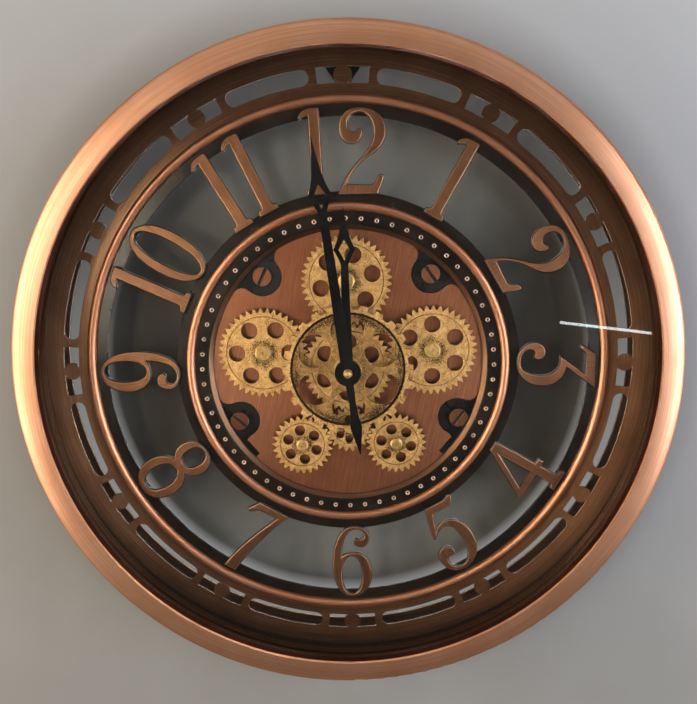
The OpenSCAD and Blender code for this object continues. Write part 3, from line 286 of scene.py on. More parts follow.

# %% [markdown]
# ## The wall
# The wall also glows: far away in the colour of the room, and faintly behind the dial and behind the windows
# of the chapter ring, more so low down, where the glow is painted light on a wall that is no lamp. Light Path
# keeps that glow from lighting anything. The wall is one sheet just behind the drum, and its back is clear,
# so that the rear of the clock can be looked at too.

# %% Hang up the wall
REACH = 4.0
WALL_GAP_MM = 0.5
ROOM_GLOW = 0.62


def seen_straight(tree):
    """1 for what the camera sees straight or through the glass, 0 for what only lights a surface."""
    path = add(tree, "ShaderNodeLightPath").outputs
    depths = {0: path["Glossy Depth"], 1: path["Diffuse Depth"]}
    bounces = add(tree, "ShaderNodeMath", depths, operation="ADD").outputs[0]
    return levels(tree, bounces, 0.0, 1.0, 1.0, 0.0)


# painted light: a faint glow behind the dial and behind the chapter ring's windows
painted_dial_glow = levels(tree, aside, 50 * MM, 150 * MM, 0.015, 0.0)
by_height = levels(tree, sides["Z"], -100 * MM, 160 * MM, 0.28, 0.06)
painted_ring_glow = levels(tree, from_axis, 256 * MM, 266 * MM, by_height, 0.0)
behind_ring = levels(tree, from_axis, 216 * MM, 228 * MM, 0.0, 1.0)
painted_near_glow = add(tree, "ShaderNodeMix", {0: behind_ring, 2: painted_dial_glow, 3: painted_ring_glow}).outputs[0]
far_glow = levels(tree, from_axis, ROOM_NEAR, ROOM_FAR, 0.0, ROOM_GLOW)
glow = add(tree, "ShaderNodeMath", {0: painted_near_glow, 1: far_glow}, operation="ADD").outputs[0]
glow = levels(tree, seen_straight(tree), 0.0, 1.0, 0.0, glow)
wire(tree, shader, {"Emission Color": hue("#f2f2f4"), "Emission Strength": glow})
rear = add(tree, "ShaderNodeNewGeometry").outputs["Backfacing"]
clear = add(tree, "ShaderNodeBsdfTransparent").outputs[0]
one_sided = add(tree, "ShaderNodeMixShader", {0: rear, 1: shader.outputs[0], 2: clear}).outputs[0]
tree.links.new(one_sided, tree.nodes["Material Output"].inputs["Surface"])

wall_at = WALL + WALL_GAP_MM * MM
corners = [(x * REACH, wall_at, z * REACH) for x, z in ((-1, -1), (1, -1), (1, 1), (-1, 1))]
wall_mesh = bpy.data.meshes.new("wall")
wall_mesh.from_pydata(corners, [], [range(len(corners))])
wall_mesh.materials.append(wall_paint)
wall = bpy.data.objects.new("wall", wall_mesh)
bpy.context.scene.collection.objects.link(wall)
wall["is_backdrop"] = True
print("wall at y", round(wall_at, 4))

# %% [markdown]
# ## Soft light
# Copper shows what it mirrors, so the lamps are big soft panels. A warm one on the left and a cooler one
# on the right give the bezel and the beads their two bright sides, each with a smaller card in front of
# it, and weak panels above and below keep the top and bottom deeper. Clear glass would mirror each panel
# as a hard white sheet, so only the ceiling and a thin strip far to the right may show in it: the strip
# is the one white streak. Two front cards light the plate and the wheels alone, which a photographer's
# flag would see to. A panel behind the wall lights only the rear: shadow linking tells it to pass the
# wall as if it weren't there.

# %% Place the lamps
WARM, COOL = "#fff0de", "#f4f4ff"


def panel(name, at, aim, size, power, colour, roll=0.0, mirrored=False):
    """A soft rectangular lamp that faces a point, rolled by some degrees; clear glass may show its image."""
    data = bpy.data.lights.new(name, "AREA")
    data.shape = "RECTANGLE"
    data.size, data.size_y = size
    data.energy = power
    data.color = hue(colour)[:3]
    data.cycles.use_multiple_importance_sampling = mirrored
    lamp = bpy.data.objects.new(name, data)
    facing = (Vector(aim) - Vector(at)).to_track_quat("-Z", "Y").to_matrix().to_4x4()
    lamp.matrix_world = Matrix.Translation(at) @ facing @ Matrix.Rotation(math.radians(roll), 4, "Z")
    bpy.context.scene.collection.objects.link(lamp)
    return lamp


middle = Vector((AXIS.x, WALL, AXIS.z))
panel("left_window", (-1.55, -0.9, -0.25), middle, (0.7, 1.6), 31.0, WARM)
panel("left_card", (-0.78, -1.35, -0.1), middle, (0.4, 0.6), 6.0, WARM)
panel("right_window", (1.45, -0.9, -0.2), middle, (0.65, 1.3), 26.5, COOL)
panel("right_card", (0.95, -1.35, -0.25), middle, (0.3, 0.6), 3.0, COOL)
panel("ceiling", (0.0, -1.15, 1.55), middle, (3.0, 2.0), 11.5, "#fff6ee", mirrored=True)
panel("floor_bounce", (0.0, -0.85, -1.85), middle, (3.0, 1.2), 1.4, "#fff2e6")
card_lit = bpy.data.collections.new("lit_by_the_front_cards")
for side, at, power in (("left", (-0.42, -1.35, -0.56), 2.0), ("right", (0.36, -1.35, -0.62), 1.0)):
    front_card = panel(f"{side}_front_card", at, middle, (0.25, 0.45), power, "#fff0e4")
    front_card.light_linking.receiver_collection = card_lit
glint = on_dial(211, 35, 71)
streak = panel(
    "streak_tube", (0.684, -1.2, -0.362), glint, (0.25, 0.007), 0.045, "#f2fbff", roll=-5.5, mirrored=True
)
streak.visible_diffuse = False
rear_panel = panel("rear_panel", (0.25, 1.3, 0.05), middle, (1.4, 1.4), 16.0, "#ffffff")
unseen = bpy.data.collections.new("passed_by_the_rear_panel")
unseen.objects.link(wall)
unseen.collection_objects[0].light_linking.link_state = "EXCLUDE"
rear_panel.light_linking.blocker_collection = unseen

# %% [markdown]
# ## The air of the room
# The world is dim where it lights the clock, so the panels shape it. Where the camera looks past the
# wall, the same Light Path test shows a pale room.

# %% Fill the room
world = bpy.data.worlds.new("studio_air")
world.use_nodes = True
bpy.context.scene.world = world
tree = world.node_tree
dim_room = wire(tree, tree.nodes["Background"], {"Color": hue("#e8e4e0"), "Strength": 0.06}).outputs[0]
pale_room = add(tree, "ShaderNodeBackground", {"Color": hue("#c4c4c5"), "Strength": 1.0}).outputs[0]
air = add(tree, "ShaderNodeMixShader", {0: seen_straight(tree), 1: dim_room, 2: pale_room}).outputs[0]
tree.links.new(air, tree.nodes["World Output"].inputs["Surface"])
print("world:", world.name)

# %% [markdown]
# ## Antique copper
# The bezel, the beads and the plate are steel, plated with copper, darkened, brushed back and lacquered.
# The brush leaves lighter lines, and the darkening stays between them. A metal's colour is its reflection, so
# metallic is 1. Light spreads across the scratches, which Anisotropic does, and the lacquer adds a clear
# coat. The walls of bezel and drum that face the axis are painted near black, as painted shade inside the
# case, and the chapter ring is painted darker towards the drum, as painted shade under the bezel.

# %% Copper finishes
PAINTED_SHADE_BROWN = "#2a1a10"


def inner_wall(tree, inner_mm, front_mm, back_mm):
    """1 on the wall of a ring that faces the axis, between its front and its back, and 0 elsewhere."""
    radius, _, depth = dial_radius(tree)
    inside = levels(tree, radius, (inner_mm + 0.1) * MM, (inner_mm + 0.3) * MM, 1.0, 0.0)
    sunk = levels(tree, depth, WALL - (front_mm + 0.5) * MM, WALL - front_mm * MM, 0.0, inside)
    return levels(tree, depth, WALL - (back_mm + 0.5) * MM, WALL - back_mm * MM, sunk, 0.0)


def brushed_copper(
    name, tones_of, way, lines_mm, rough, bite=1.0, inner_wall_shade=None, rim_shade=None, **constants
):
    """Plated copper in two tones, brushed and cloudy with age; an inner wall or a rim may get painted shade.
    """
    deep, bright = tones_of
    spread = 0.0 if way == "radial" else 0.25
    material, tree, shader = finish(name, Metallic=1.0, Anisotropic_Rotation=spread, **constants)
    lines = brushed(tree, way, *lines_mm)
    plated = tones(tree, lines, 0.34, 0.66, hue(deep), hue(bright))
    aged = tones(tree, clouds(tree, 38, 3.0), 0.42, 0.8, plated, hue(deep))
    # painted shade: the walls that face the axis inside the case turn near black
    if inner_wall_shade:
        aged = tones(tree, inner_wall(tree, *inner_wall_shade), 0.0, 1.0, aged, hue(PAINTED_SHADE_BROWN))
    # painted shade: the chapter ring darkens towards the drum, under the bezel
    if rim_shade:
        unshaded_mm, shaded_mm = rim_shade
        aged = tones(tree, dial_radius(tree)[0], unshaded_mm * MM, shaded_mm * MM, aged, hue(PAINTED_SHADE_BROWN))
    grip = levels(tree, lines, *NOISE, rough + 0.05 * bite, rough - 0.05 * bite)
    grain = relief(tree, lines, 0.05, 0.1 * bite)
    wire(tree, shader, {"Base Color": aged, "Roughness": grip, "Normal": grain})
    if way == "straight":
        lie = add(tree, "ShaderNodeCombineXYZ", {"Z": 1.0}).outputs[0]
    else:
        lie = add(tree, "ShaderNodeTangent", direction_type="RADIAL", axis="Y").outputs[0]
    wire(tree, shader, {"Tangent": lie})
    return material


LACQUER = {"Coat_Weight": 0.2, "Coat_Roughness": 0.2}
# where painted shade darkens the inner walls of bezel and drum, and the rim of the chapter ring
BEZEL_INNER = (251.7, 77.5, 0.0)
DRUM_INNER = (266.5, 100.0, 4.0)
RING_RIM_SHADE = (254.0, 274.0)
EDGE_LINES = (0.6, 20)
bezel_copper = brushed_copper(
    "brushed_antique_copper", ("#d19873", "#e4b08f"), "round", (0.9, 70), 0.47, bite=0.4,
    inner_wall_shade=BEZEL_INNER, Anisotropic=0.35, Specular_Tint=hue("#e0a884"), **LACQUER
)
bead_copper = brushed_copper(
    "satin_copper_bead", ("#bb7852", "#d8987a"), "round", (0.6, 60), 0.36, Anisotropic=0.3, **LACQUER
)
plate_copper = brushed_copper(
    "brushed_copper_sheet", ("#6a3d28", "#83533a"), "straight", (0.35, 26, 12.0), 0.37,
    Anisotropic=0.5, **LACQUER
)
face_copper = brushed_copper(
    "numeral_face_copper", ("#603d27", "#966546"), "radial", (0.35, 30), 0.4, Anisotropic=0.2, **LACQUER
)
# the light edge colour is partly rubbed copper and partly a painted highlight that catches light from every
# side
edge_copper = brushed_copper(
    "rubbed_edge_copper", ("#b88c70", "#d4ab90"), "round", EDGE_LINES, 0.45, **LACQUER
)
numeral_edge = brushed_copper(
    "numeral_edge_copper", ("#8c6248", "#a87c60"), "round", EDGE_LINES, 0.45, **LACQUER
)
ring_copper = brushed_copper(
    "oxidised_copper_sheet", ("#8a5c3e", "#b48460"), "round", (0.7, 55), 0.37,
    rim_shade=RING_RIM_SHADE, Anisotropic=0.85, **LACQUER
)
lip_copper = brushed_copper(
    "oxidised_copper_lip", ("#553826", "#765038"), "round", (0.5, 50), 0.38, Anisotropic=0.4, **LACQUER
)
drum_copper = brushed_copper(
    "oxidised_copper_drum", ("#6b4e39", "#8a6a50"), "round", (0.8, 60), 0.46,
    inner_wall_shade=DRUM_INNER, Anisotropic=0.4, Coat_Weight=0.6, Coat_Roughness=0.15
)
print("copper finishes:", [m.name for m in bpy.data.materials if "copper" in m.name])

# %% [markdown]
# ## Black-brown enamel
# The two dark rings and the stud channel are sheet steel under a stoved enamel that is nearly black and
# turns brown where light rakes it. Enamel is a dielectric over a dark metal, so it is partly metallic
# with a glossy coat. Handling leaves it unevenly glossy, which a cloudy roughness shows, and stoving
# leaves the fine dimples of orange peel.

# %% Dark finishes


def enamel(name, deep, raised, metal, gloss, **constants):
    """Stoved dark paint with a little metal showing through it."""
    material, tree, shader = finish(name, Metallic=metal, **constants)
    haze = clouds(tree, 24, 3.0)
    colour = tones(tree, haze, *HAZE, hue(deep), hue(raised))
    rub = levels(tree, haze, *NOISE, gloss, gloss + 0.12)
    orange_peel = relief(tree, clouds(tree, 1.6), 0.03, 0.2)
    wire(tree, shader, {"Base Color": colour, "Roughness": rub, "Normal": orange_peel})
    return material


ring_enamel = enamel(
    "black_brown_enamel", "#1a110a", "#2a1c11", 0.35, 0.16, Coat_Weight=0.5, Coat_Roughness=0.06
)
side_enamel = enamel("darkened_cut_edge", "#120b07", "#1f140c", 0.3, 0.4)
hand_lacquer = enamel(
    "black_hand_lacquer", "#060505", "#0e0c0b", 0.0, 0.14, Coat_Weight=0.4, Coat_Roughness=0.05
)
ear_black = enamel(
    "black_sheet_enamel", "#0b0807", "#17110d", 0.1, 0.22, Coat_Weight=0.3, Coat_Roughness=0.1
)
print("dark finishes:", [m.name for m in (ring_enamel, side_enamel, hand_lacquer, ear_black)])

# %% [markdown]
# ## Antique gold
# The gears are plated gold-brown and rubbed with black, which stays as specks in the cast skin and gathers
# round the hubs. A dark line under the open wheel's rim, and its sunk web, are darker, partly with patina and
# partly as painted shade. Each gear carries its hub's place, the radius where its grime gathers and the
# radius of the dark line as attributes, so one material draws fitting rings on all of them.

# %% Blackened gold


def patina(name, deep, bright, clean_rough, blackening):
    """Gold plate under black that stays in specks and in a band round the hub, with a dark line that is
    partly patina and partly painted shade.
    """
    material, tree, shader = finish(name, Metallic=1.0, Coat_Weight=0.1, Coat_Roughness=0.3)
    place = add(tree, "ShaderNodeTexCoord").outputs["Object"]
    hub = add(tree, "ShaderNodeAttribute", attribute_name="hub").outputs["Vector"]
    from_hub = add(tree, "ShaderNodeVectorMath", {0: place, 1: hub}, operation="SUBTRACT").outputs[0]
    in_plane = add(tree, "ShaderNodeVectorMath", {0: from_hub, 1: (1, 0, 1)}, operation="MULTIPLY").outputs[0]
    hub_radius = add(tree, "ShaderNodeVectorMath", {0: in_plane}, operation="LENGTH").outputs["Value"]
    grime_and_shade = clouds(tree, 0.8, 4.0)
    # the dark line under the open wheel's rim is partly patina and partly painted shade
    for label, near_mm, far_mm, weight in (("grime_at", 0.0, 6.0, 0.15), ("line_at", 0.6, 1.2, 0.3)):
        ring = add(tree, "ShaderNodeAttribute", attribute_name=label).outputs["Fac"]
        off = add(tree, "ShaderNodeMath", {0: hub_radius, 1: ring}, operation="SUBTRACT").outputs[0]
        off = add(tree, "ShaderNodeMath", {0: off}, operation="ABSOLUTE").outputs[0]
        gathered = levels(tree, off, near_mm * MM, far_mm * MM, weight, 0.0)
        grime_and_shade = add(tree, "ShaderNodeMath", {0: grime_and_shade, 1: gathered}, operation="ADD").outputs[0]
    patches = levels(tree, clouds(tree, 15, 2.0), 0.4, 0.75, 0.0, 0.09)
    grime_and_shade = add(tree, "ShaderNodeMath", {0: grime_and_shade, 1: patches}, operation="ADD").outputs[0]
    skin = tones(tree, clouds(tree, 4.0, 3.0), *NOISE, hue(deep), hue(bright))
    gilt = tones(tree, grime_and_shade, 0.575 - blackening, 0.7 - blackening, skin, hue("#241708"))
    dull = levels(tree, grime_and_shade, 0.5, 0.75, clean_rough, 0.75)
    cast = relief(tree, clouds(tree, 0.9, 2.0), 0.12, 0.25)
    wire(tree, shader, {"Base Color": gilt, "Roughness": dull, "Normal": cast})
    return material


aged_gold = patina("antique_gold_plate", "#9a7243", "#c69c64", 0.5, 0.0)
# the open wheel's sunk web is darker, partly with patina and partly as painted shade
web_gold_patina_and_shade = patina("gold_web_patina_and_shade", "#785a33", "#a67f4e", 0.55, 0.01)
print("blackened gold:", aged_gold.name, web_gold_patina_and_shade.name)

# %% [markdown]
# ## Rubbed gold, brass and eyelets
# Bare metal that is handled or turned shows two close hues and an uneven gloss. The tips of the teeth are
# rubbed pale, their flanks stay in shade, the pivots are turned brass under lacquer, and the eyelets are
# bright copper. Each is two clouds: one for the hue and one for the gloss.

# %% Bare metals
GILT = (0.3, 0.65)


def bare_metal(name, hues, hue_clouds, hue_range, gloss_clouds, rough, **constants):
    """Metal in two hues with clouds of hue and of gloss, each a size in mm and maybe a detail."""
    material, tree, shader = finish(name, Metallic=1.0, **constants)
    wire(tree, shader, {
        "Base Color": tones(tree, clouds(tree, *hue_clouds), *hue_range, *map(hue, hues)),
        "Roughness": levels(tree, clouds(tree, *gloss_clouds), *NOISE, *rough),
    })
    return material


worn_gold = bare_metal("rubbed_gold_edge", ("#cba676", "#e6c79c"), (2.5,), GILT, (1.2,), (0.38, 0.52))
tooth_gold = bare_metal("shaded_gold_flank", ("#4a3416", "#8d6a33"), (2.0, 3.0), GILT, (1.5,), (0.4, 0.6))
turned_brass = bare_metal(
    "turned_brass", ("#ab8650", "#cba76c"), (3.0,), HAZE, (1.1, 3.0), (0.38, 0.5),
    Coat_Weight=0.2, Coat_Roughness=0.08
)
eyelet_metal = bare_metal(
    "bright_copper_eyelet", ("#e6c0a6", "#ffe6d6"), (2.0,), HAZE, (1.0,), (0.26, 0.4),
    Coat_Weight=0.3, Coat_Roughness=0.05
)
print("bare metals:", [m.name for m in (worn_gold, tooth_gold, turned_brass, eyelet_metal)])

# %% [markdown]
# ## Glass, plastic, rubber and steel
# Float glass is clear with an IOR of 1.52. A lamp's light should pass it straight, so the glass turns
# into a clear film for shadow rays and diffuse rays. The back is moulded ABS with the fine grain of a
# spark-eroded mould, the gasket is matt rubber, screws and shafts are satin steel, and the motor's leads
# are red PVC.

# %% Clear, plastic and steel finishes
clear_glass, tree, shader = finish("clear_float_glass", Transmission_Weight=1.0, Roughness=0.0, IOR=1.52)
smear = clouds(tree, 60, 3.0)
wire(tree, shader, {"Base Color": tones(tree, smear, 0.4, 0.8, hue("#fbfdfc"), hue("#f4f8f6"))})
film = add(tree, "ShaderNodeBsdfTransparent", {"Color": hue("#f4f8f6")}).outputs[0]
path = add(tree, "ShaderNodeLightPath").outputs
rays = {0: path["Is Shadow Ray"], 1: path["Is Diffuse Ray"]}
let_through = add(tree, "ShaderNodeMath", rays, operation="MAXIMUM").outputs[0]
pane = add(tree, "ShaderNodeMixShader", {0: let_through, 1: shader.outputs[0], 2: film}).outputs[0]
tree.links.new(pane, tree.nodes["Material Output"].inputs["Surface"])


def moulded(name, deep, raised, rough, grain_mm, **constants):
    """A moulded skin: one colour with a fine grain and slight unevenness."""
    material, tree, shader = finish(name, **constants)
    grain = clouds(tree, grain_mm, 1.0)
    wire(tree, shader, {
        "Base Color": tones(tree, clouds(tree, 18, 3.0), *HAZE, hue(deep), hue(raised)),
        "Roughness": levels(tree, grain, *NOISE, rough - 0.08, rough + 0.08),
        "Normal": relief(tree, grain, 0.08, 0.3),
    })
    return material


black_abs = moulded("moulded_black_abs", "#1b1b1d", "#262629", 0.46, 0.7)
matt_rubber = moulded("matt_black_rubber", "#0a0a0a", "#131313", 0.75, 0.5)
red_pvc = moulded("red_pvc_insulation", "#7c1c17", "#96271f", 0.42, 0.9)
cell_sleeve = moulded("printed_cell_sleeve", "#23324a", "#2c3d58", 0.3, 1.5, Coat_Weight=0.4)
satin_steel, tree, shader = finish("satin_steel", Metallic=1.0)
lathe = clouds(tree, 0.8, 3.0)
wire(tree, shader, {
    "Base Color": tones(tree, clouds(tree, 5.0), *HAZE, hue("#8f8f8d"), hue("#b4b4b1")),
    "Roughness": levels(tree, lathe, *NOISE, 0.26, 0.42),
    "Normal": relief(tree, lathe, 0.03, 0.15),
})
print("finishes so far:", len(bpy.data.materials))

# %% [markdown]
# ## Easing the edges
# Nothing that is cut or cast has a perfectly sharp edge: the light catches a thin line along it. A copy
# of a CAD node is welded into one skin, and its flat triangles are dissolved into whole faces. A gear is
# first cut through its hub, because a face with many holes in it would be split into slivers. BMesh then
# bevels each edge sharper than 35 degrees. On a numeral it bevels only the outline of the face, twice: a
# dark step, and a thin lighter line inside it. Faces, edges and cut sides get finishes of their own, as
# on a numeral that was brushed after its sides were blackened, and the copy stands for the node.

# %% A function that eases a node
SHARP = math.radians(35)
FLAT = math.radians(0.8)
CREASE, OUTLINE_CREASE = math.radians(32), math.radians(14)
WELD = 2e-6
FACE, EDGE, SIDE = 0, 1, 2


def cut_through(skin, hub, cuts):
    """Cuts a skin along planes through its hub and marks the cuts as seams."""
    for k in range(cuts):
        angle = math.pi * k / cuts
        lie = Vector((math.cos(angle), 0.0, math.sin(angle)))
        whole = skin.verts[:] + skin.edges[:] + skin.faces[:]
        cut = bmesh.ops.bisect_plane(skin, geom=whole, dist=1e-7, plane_co=hub, plane_no=lie)["geom_cut"]
        for line in cut:
            if isinstance(line, bmesh.types.BMEdge):
                line.seam = True


def eased(node, body, edge_mm, finishes, sunk_mm=0.0, cuts=0, outline_mm=0.0):
    """A copy of a CAD node with broken edges and its own finishes on face, edge, and side or sunk face."""
    blank = bpy.data.meshes.new(node + "_eased")
    skin = bmesh.new()
    skin.from_mesh(nodes[node].data)
    bmesh.ops.remove_doubles(skin, verts=skin.verts, dist=WELD)
    low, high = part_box(node)
    cut_through(skin, (low + high) / 2, cuts)
    bmesh.ops.dissolve_limit(skin, angle_limit=FLAT, verts=skin.verts, edges=skin.edges, delimit={"SEAM"})
    for part in skin.faces:
        depth = (part.calc_center_median().y - low.y) / MM
        sunk = sunk_mm > 0 and abs(depth - sunk_mm) < 0.2 * sunk_mm
        part.material_index = FACE if abs(part.normal.y) > 0.7 and not sunk else SIDE
    for width_mm, coat in ((outline_mm, SIDE), (edge_mm, EDGE)):
        if outline_mm > 0:
            picked = [e for e in skin.edges if {f.material_index for f in e.link_faces} == {FACE, SIDE}]
        else:
            picked = [e for e in skin.edges if e.is_manifold and e.calc_face_angle() > SHARP]
        if width_mm > 0:
            bmesh.ops.bevel(
                skin, geom=picked, offset=width_mm * MM, offset_type="OFFSET", segments=1, profile=0.5,
                affect="EDGES", clamp_overlap=outline_mm == 0, loop_slide=True, material=coat,
            )
    for part in skin.faces:
        part.smooth = True
    skin.to_mesh(blank)
    skin.free()
    if "custom_normal" in blank.attributes:
        blank.attributes.remove(blank.attributes["custom_normal"])
    for material in finishes:
        blank.materials.append(material)
    blank.set_sharp_from_angle(angle=OUTLINE_CREASE if outline_mm > 0 else CREASE)
    piece = bpy.data.objects.new(node + "_eased", blank)
    bpy.context.scene.collection.objects.link(piece)
    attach(piece, body)
    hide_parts(node)
    return piece


print("easing is ready")

# %% [markdown]
# ## Numerals
# The twelve numerals are cut from sheet, blackened, and brushed bright on the face, so each shows a copper
# face, a light line along its outline that is partly rubbed copper and partly a painted highlight, and dark
# sides. The 5 takes a slightly narrower dark step than the others.

# %% Dress the numerals
STEP_MM, NARROW_STEP_MM = 1.0, 0.8
LINE_MM = 0.3
numeral_coats = (face_copper, numeral_edge, side_enamel)
for hour in range(1, 13):
    step_mm = NARROW_STEP_MM if hour == 5 else STEP_MM
    eased(f"numeral_{hour}", "case", LINE_MM, numeral_coats, outline_mm=step_mm)

# %% [markdown]
# ## Gears
# The fine gears and the open wheel in front share one finish. The ring groove in each face keeps its
# black, so the faces that lie below the front are given the dark side finish. The hub's place goes into
# the mesh as an attribute: it is the same at every point, so the material can measure from it anywhere.
# Only the open wheel has a dark line near its rim, so on the others the line lies at a radius that no
# point has.

# %% Dress the gears
GROOVE_MM, WEB_MM = 0.6, 1.0
RIM_LINE_MM, NO_LINE_MM = 48.4, -100.0
TOOTH_EDGE_MM = 0.25
HUB_CUTS = 12
gear_bodies = {
    "sun_gear": ("sun", "sun_turn", 9.0),
    "central_wheel": ("sun", "sun_turn", 45.0),
    "satellite_top": ("top_satellite", "top_satellite_turn", 9.0),
    "satellite_left": ("left_satellite", "left_satellite_turn", 9.0),
    "satellite_right": ("right_satellite", "right_satellite_turn", 9.0),
    "planet_left": ("left_planet", "left_planet_turn", 7.0),
    "planet_right": ("right_planet", "right_planet_turn", 7.0),
    "idler_gear": ("idler", "idler_turn", 5.0),
}
for node, (body, joint, grime_mm) in gear_bodies.items():
    big_wheel = node == "central_wheel"
    coats = (aged_gold, aged_gold, web_gold_patina_and_shade) if big_wheel else (aged_gold, worn_gold, tooth_gold)
    sunk_mm = WEB_MM if big_wheel else GROOVE_MM
    gear = eased(node, body, TOOTH_EDGE_MM, coats, sunk_mm, HUB_CUTS)
    card_lit.objects.link(gear)
    count = len(gear.data.vertices)
    place = gear.data.attributes.new("hub", "FLOAT_VECTOR", "POINT")
    place.data.foreach_set("vector", list(hubs[joint]) * count)
    line_mm = RIM_LINE_MM if big_wheel else NO_LINE_MM
    for label, radius_mm in (("grime_at", grime_mm), ("line_at", line_mm)):
        ring = gear.data.attributes.new(label, "FLOAT", "POINT")
        ring.data.foreach_set("value", [radius_mm * MM] * count)
print("gears:", len(gear_bodies))

# %% [markdown]
# ## Hands, plate, rings and screws
# The hands are stamped and lacquered black all over. The copper plate, the chapter ring and the slotted
# screws are brushed on the face and dark on the cut edge. The two flat rings and the stud channel keep
# one enamel all over. The screws' slots are 1.7 mm deep, and their floors stay dark.

# %% Dress the rest of the front
plate_coats = (plate_copper, edge_copper, side_enamel)
eased("minute_hand", "minute", 0.3, [hand_lacquer] * 3)
eased("hour_hand", "hour", 0.3, [hand_lacquer] * 3)
card_lit.objects.link(eased("gear_plate", "case", 0.4, plate_coats))
eased("chapter_ring", "case", 0.35, (ring_copper, edge_copper, ring_enamel))
eased("ear_screws", "case", 0.5, plate_coats, sunk_mm=1.7)
for ring in ("centre_ring", "dial_ring", "stud_channel"):
    eased(ring, "case", 0.4, [ring_enamel] * 3)

# %% [markdown]
# ## Beads swept round the dial
# Each bead is one half-round section carried round the axis. A curve could be bevelled, but a Geometry
# Nodes tree keeps the section and the sweep as named inputs: the object's own mesh is the section, and
# the tree sweeps it round a circle and turns it upright on the wall.

# %% The sweeping tree
UPRIGHT = (math.radians(90), 0.0, 0.0)


def new_tree(name, inputs):
    """An empty Geometry Nodes tree with a geometry input, the named inputs and a geometry output."""
    tree = bpy.data.node_groups.new(name, "GeometryNodeTree")
    tree.interface.new_socket("Geometry", in_out="INPUT", socket_type="NodeSocketGeometry")
    for label, kind in inputs.items():
        tree.interface.new_socket(label, in_out="INPUT", socket_type=kind)
    tree.interface.new_socket("Geometry", in_out="OUTPUT", socket_type="NodeSocketGeometry")
    return tree, add(tree, "NodeGroupInput").outputs


def swept(tree, section, steps, radius):
    """A section of edges carried round a circle."""
    outline = add(tree, "GeometryNodeMeshToCurve", {0: section}).outputs[0]
    path = add(tree, "GeometryNodeCurvePrimitiveCircle", {"Resolution": steps, "Radius": radius}).outputs[0]
    return add(tree, "GeometryNodeCurveToMesh", {"Curve": path, "Profile Curve": outline}).outputs[0]


def finish_tree(tree, geometry, given):
    """Every tree ends the same way: turned upright, put in place, made real and given its material."""
    stood = {"Geometry": geometry, "Rotation": UPRIGHT, "Translation": given["Place"]}
    upright = add(tree, "GeometryNodeTransform", stood).outputs[0]
    real = add(tree, "GeometryNodeRealizeInstances", {0: upright}).outputs[0]
    coat = {"Geometry": real, "Material": given["Finish"]}
    add(tree, "NodeGroupOutput", {0: add(tree, "GeometryNodeSetMaterial", coat).outputs[0]})


sweep_inputs = {
    "Radius": "NodeSocketFloat", "Steps": "NodeSocketInt",
    "Place": "NodeSocketVector", "Finish": "NodeSocketMaterial",
}
sweep_tree, given = new_tree("swept_ring", sweep_inputs)
finish_tree(sweep_tree, swept(sweep_tree, given["Geometry"], given["Steps"], given["Radius"]), given)
print("tree:", sweep_tree.name, "inputs:", list(sweep_inputs))

# %% [markdown]
# A tree is run on a small mesh of edges, and what it makes is kept as a plain mesh. A bead's section is
# measured from its CAD node: its middle radius and width from the box, and a round back that stands 1.12
# times its half width high.

# %% Sweep the beads
BEAD_RISE = 1.12
ARC_STEPS = 20


def section(name, points):
    """A closed outline of (radius, height) points in mm as a mesh of edges, for a tree to sweep."""
    mesh = bpy.data.meshes.new(name)
    corners = [(r * MM, -z * MM, 0) for r, z in points]
    mesh.from_pydata(corners, [(i, (i + 1) % len(corners)) for i in range(len(corners))], [])
    return mesh


def grown(name, mesh, tree, values, sharp_deg=40.0):
    """Runs a tree on a mesh and keeps the result as a plain mesh object."""
    seed = bpy.data.objects.new(name, mesh)
    bpy.context.scene.collection.objects.link(seed)
    run = seed.modifiers.new("tree", "NODES")
    run.node_group = tree
    for item in tree.interface.items_tree:
        if item.in_out == "INPUT" and item.name in values:
            run[item.identifier] = values[item.name]
    made = bpy.data.meshes.new_from_object(seed.evaluated_get(bpy.context.evaluated_depsgraph_get()))
    seed.modifiers.clear()
    seed.data = made
    skin = bmesh.new()
    skin.from_mesh(made)
    bmesh.ops.remove_doubles(skin, verts=skin.verts, dist=1e-7)
    bmesh.ops.recalc_face_normals(skin, faces=skin.faces)
    for face in skin.faces:
        face.smooth = True
    skin.to_mesh(made)
    skin.free()
    made.set_sharp_from_angle(angle=math.radians(sharp_deg))
    made.name = name
    return seed


for node, steps in (("chapter_bead", 240), ("centre_bead", 180)):
    low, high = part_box(node)
    outer = (high.z - low.z) / 2 / MM
    foot, crown = heights(node)
    half = (crown - foot) / BEAD_RISE
    centre_z = crown - half
    start = -math.asin(min(1.0, (centre_z - foot) / half))
    arc = [start + (math.pi - 2 * start) * k / ARC_STEPS for k in range(ARC_STEPS + 1)]
    back = [(half * math.cos(a), centre_z - foot + half * math.sin(a)) for a in arc]
    radius = outer - half
    values = {"Radius": radius * MM, "Steps": steps, "Place": on_dial(0, 0, foot), "Finish": bead_copper}
    bead = grown(node + "_swept", section(node + "_section", back), sweep_tree, values)
    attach(bead, "case")
    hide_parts(node)
    print(bead.name, "radius", round(radius, 2), "mm,", len(bead.data.polygons), "faces")

# %% [markdown]
# ## Sixty eyelets
# The stud channel holds one hollow rivet for each minute. They repeat round a ring, so a tree sweeps one
# small section into an eyelet, sets a copy on every point of a circle, and makes the copies real.

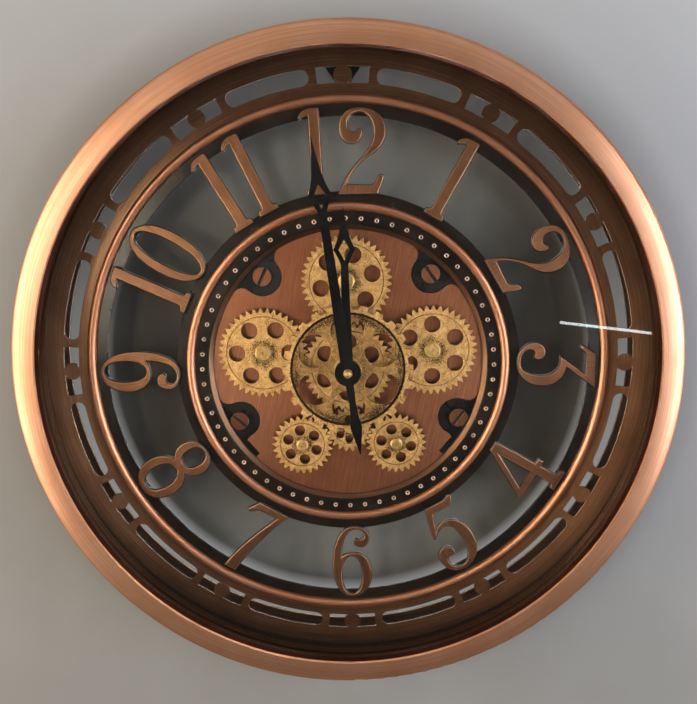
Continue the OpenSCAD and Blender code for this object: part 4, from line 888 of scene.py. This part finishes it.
# %% Set the eyelets
EYELET_R, HOLE_R = 2.0, 0.9
EYELET_SIDES = 14
eyelet_inputs = {
    "Sweep radius": "NodeSocketFloat", "Ring radius": "NodeSocketFloat", "Count": "NodeSocketInt",
    "Place": "NodeSocketVector", "Finish": "NodeSocketMaterial",
}
eyelet_tree, given = new_tree("ring_of_eyelets", eyelet_inputs)
eyelet = swept(eyelet_tree, given["Geometry"], EYELET_SIDES, given["Sweep radius"])
circle = {"Vertices": given["Count"], "Radius": given["Ring radius"]}
spots = add(eyelet_tree, "GeometryNodeMeshCircle", circle).outputs[0]
set_in = add(eyelet_tree, "GeometryNodeInstanceOnPoints", {"Points": spots, "Instance": eyelet}).outputs[0]
finish_tree(eyelet_tree, set_in, given)

low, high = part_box("studs")
stud_ring = (high.z - low.z) / 2 / MM - EYELET_R
foot, crown = heights("studs")
rim = (EYELET_R - HOLE_R) / 2
mean_r = (EYELET_R + HOLE_R) / 2
rolled = [math.radians(a) for a in (0, 45, 90, 135, 180)]
rolled_edge = [(rim * math.cos(a), crown - foot - rim + rim * math.sin(a)) for a in rolled]
outline = [(-rim, 0.0), (rim, 0.0)] + rolled_edge
values = {
    "Sweep radius": mean_r * MM, "Ring radius": stud_ring * MM, "Count": 60,
    "Place": on_dial(0, 0, foot), "Finish": eyelet_metal,
}
eyelets = grown("eyelets", section("eyelet_section", outline), eyelet_tree, values, sharp_deg=60.0)
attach(eyelets, "case")
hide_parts("studs")
print("eyelets on a ring of", round(stud_ring, 2), "mm,", len(eyelets.data.polygons), "faces")

# %% [markdown]
# ## Finishes on the nodes that stay as they are
# The turned parts need no new shape, so they keep their CAD meshes and take a finish. The mouldings of
# the back are eased like the gears.

# %% Finish the turned and moulded nodes
as_they_are = {
    "bezel": bezel_copper,
    "case_drum": drum_copper,
    "plate_lip": lip_copper,
    "back_plate": ear_black,
    "glass": clear_glass,
    "glass_gasket": matt_rubber,
    "bezel_screws": lip_copper,
    "large_pivots": turned_brass,
    "small_pivots": turned_brass,
    "wheel_tube": turned_brass,
    "hand_nut": turned_brass,
    "stem": turned_brass,
    "stem_nut": turned_brass,
    "stem_collar": turned_brass,
    "hour_tube": turned_brass,
    "minute_arbor": satin_steel,
    "idler_shaft": satin_steel,
    "gear_motor": black_abs,
    "motor_leads": red_pvc,
    "movement_washer": matt_rubber,
    "clock_battery": cell_sleeve,
    "gear_batteries": cell_sleeve,
    "cover_screws": satin_steel,
    "hanger_plate": ear_black,
}
for node, material in as_they_are.items():
    nodes[node].material_slots[0].material = material
mouldings = {
    "movement_case": "case", "battery_tray": "case", "back_cover": "case",
    "battery_door": "door", "set_knob": "knob",
}
for node, body in mouldings.items():
    cuts = HUB_CUTS if node == "back_cover" else 0
    eased(node, body, 0.4, [black_abs] * 3, cuts=cuts)
print("nodes with a finish of their own:", len(as_they_are), "and mouldings:", len(mouldings))

# %% [markdown]
# Blender only dresses the clock, so the dressed model stays inside the CAD box. How far it grew past that box
# is printed.

# %% Print the growth past the CAD box
new_low, new_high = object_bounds()
grew = [round(v / MM, 3) for v in (*(cad_low - new_low), *(new_high - cad_high))]
print("grown past the CAD box by, in mm:", grew)
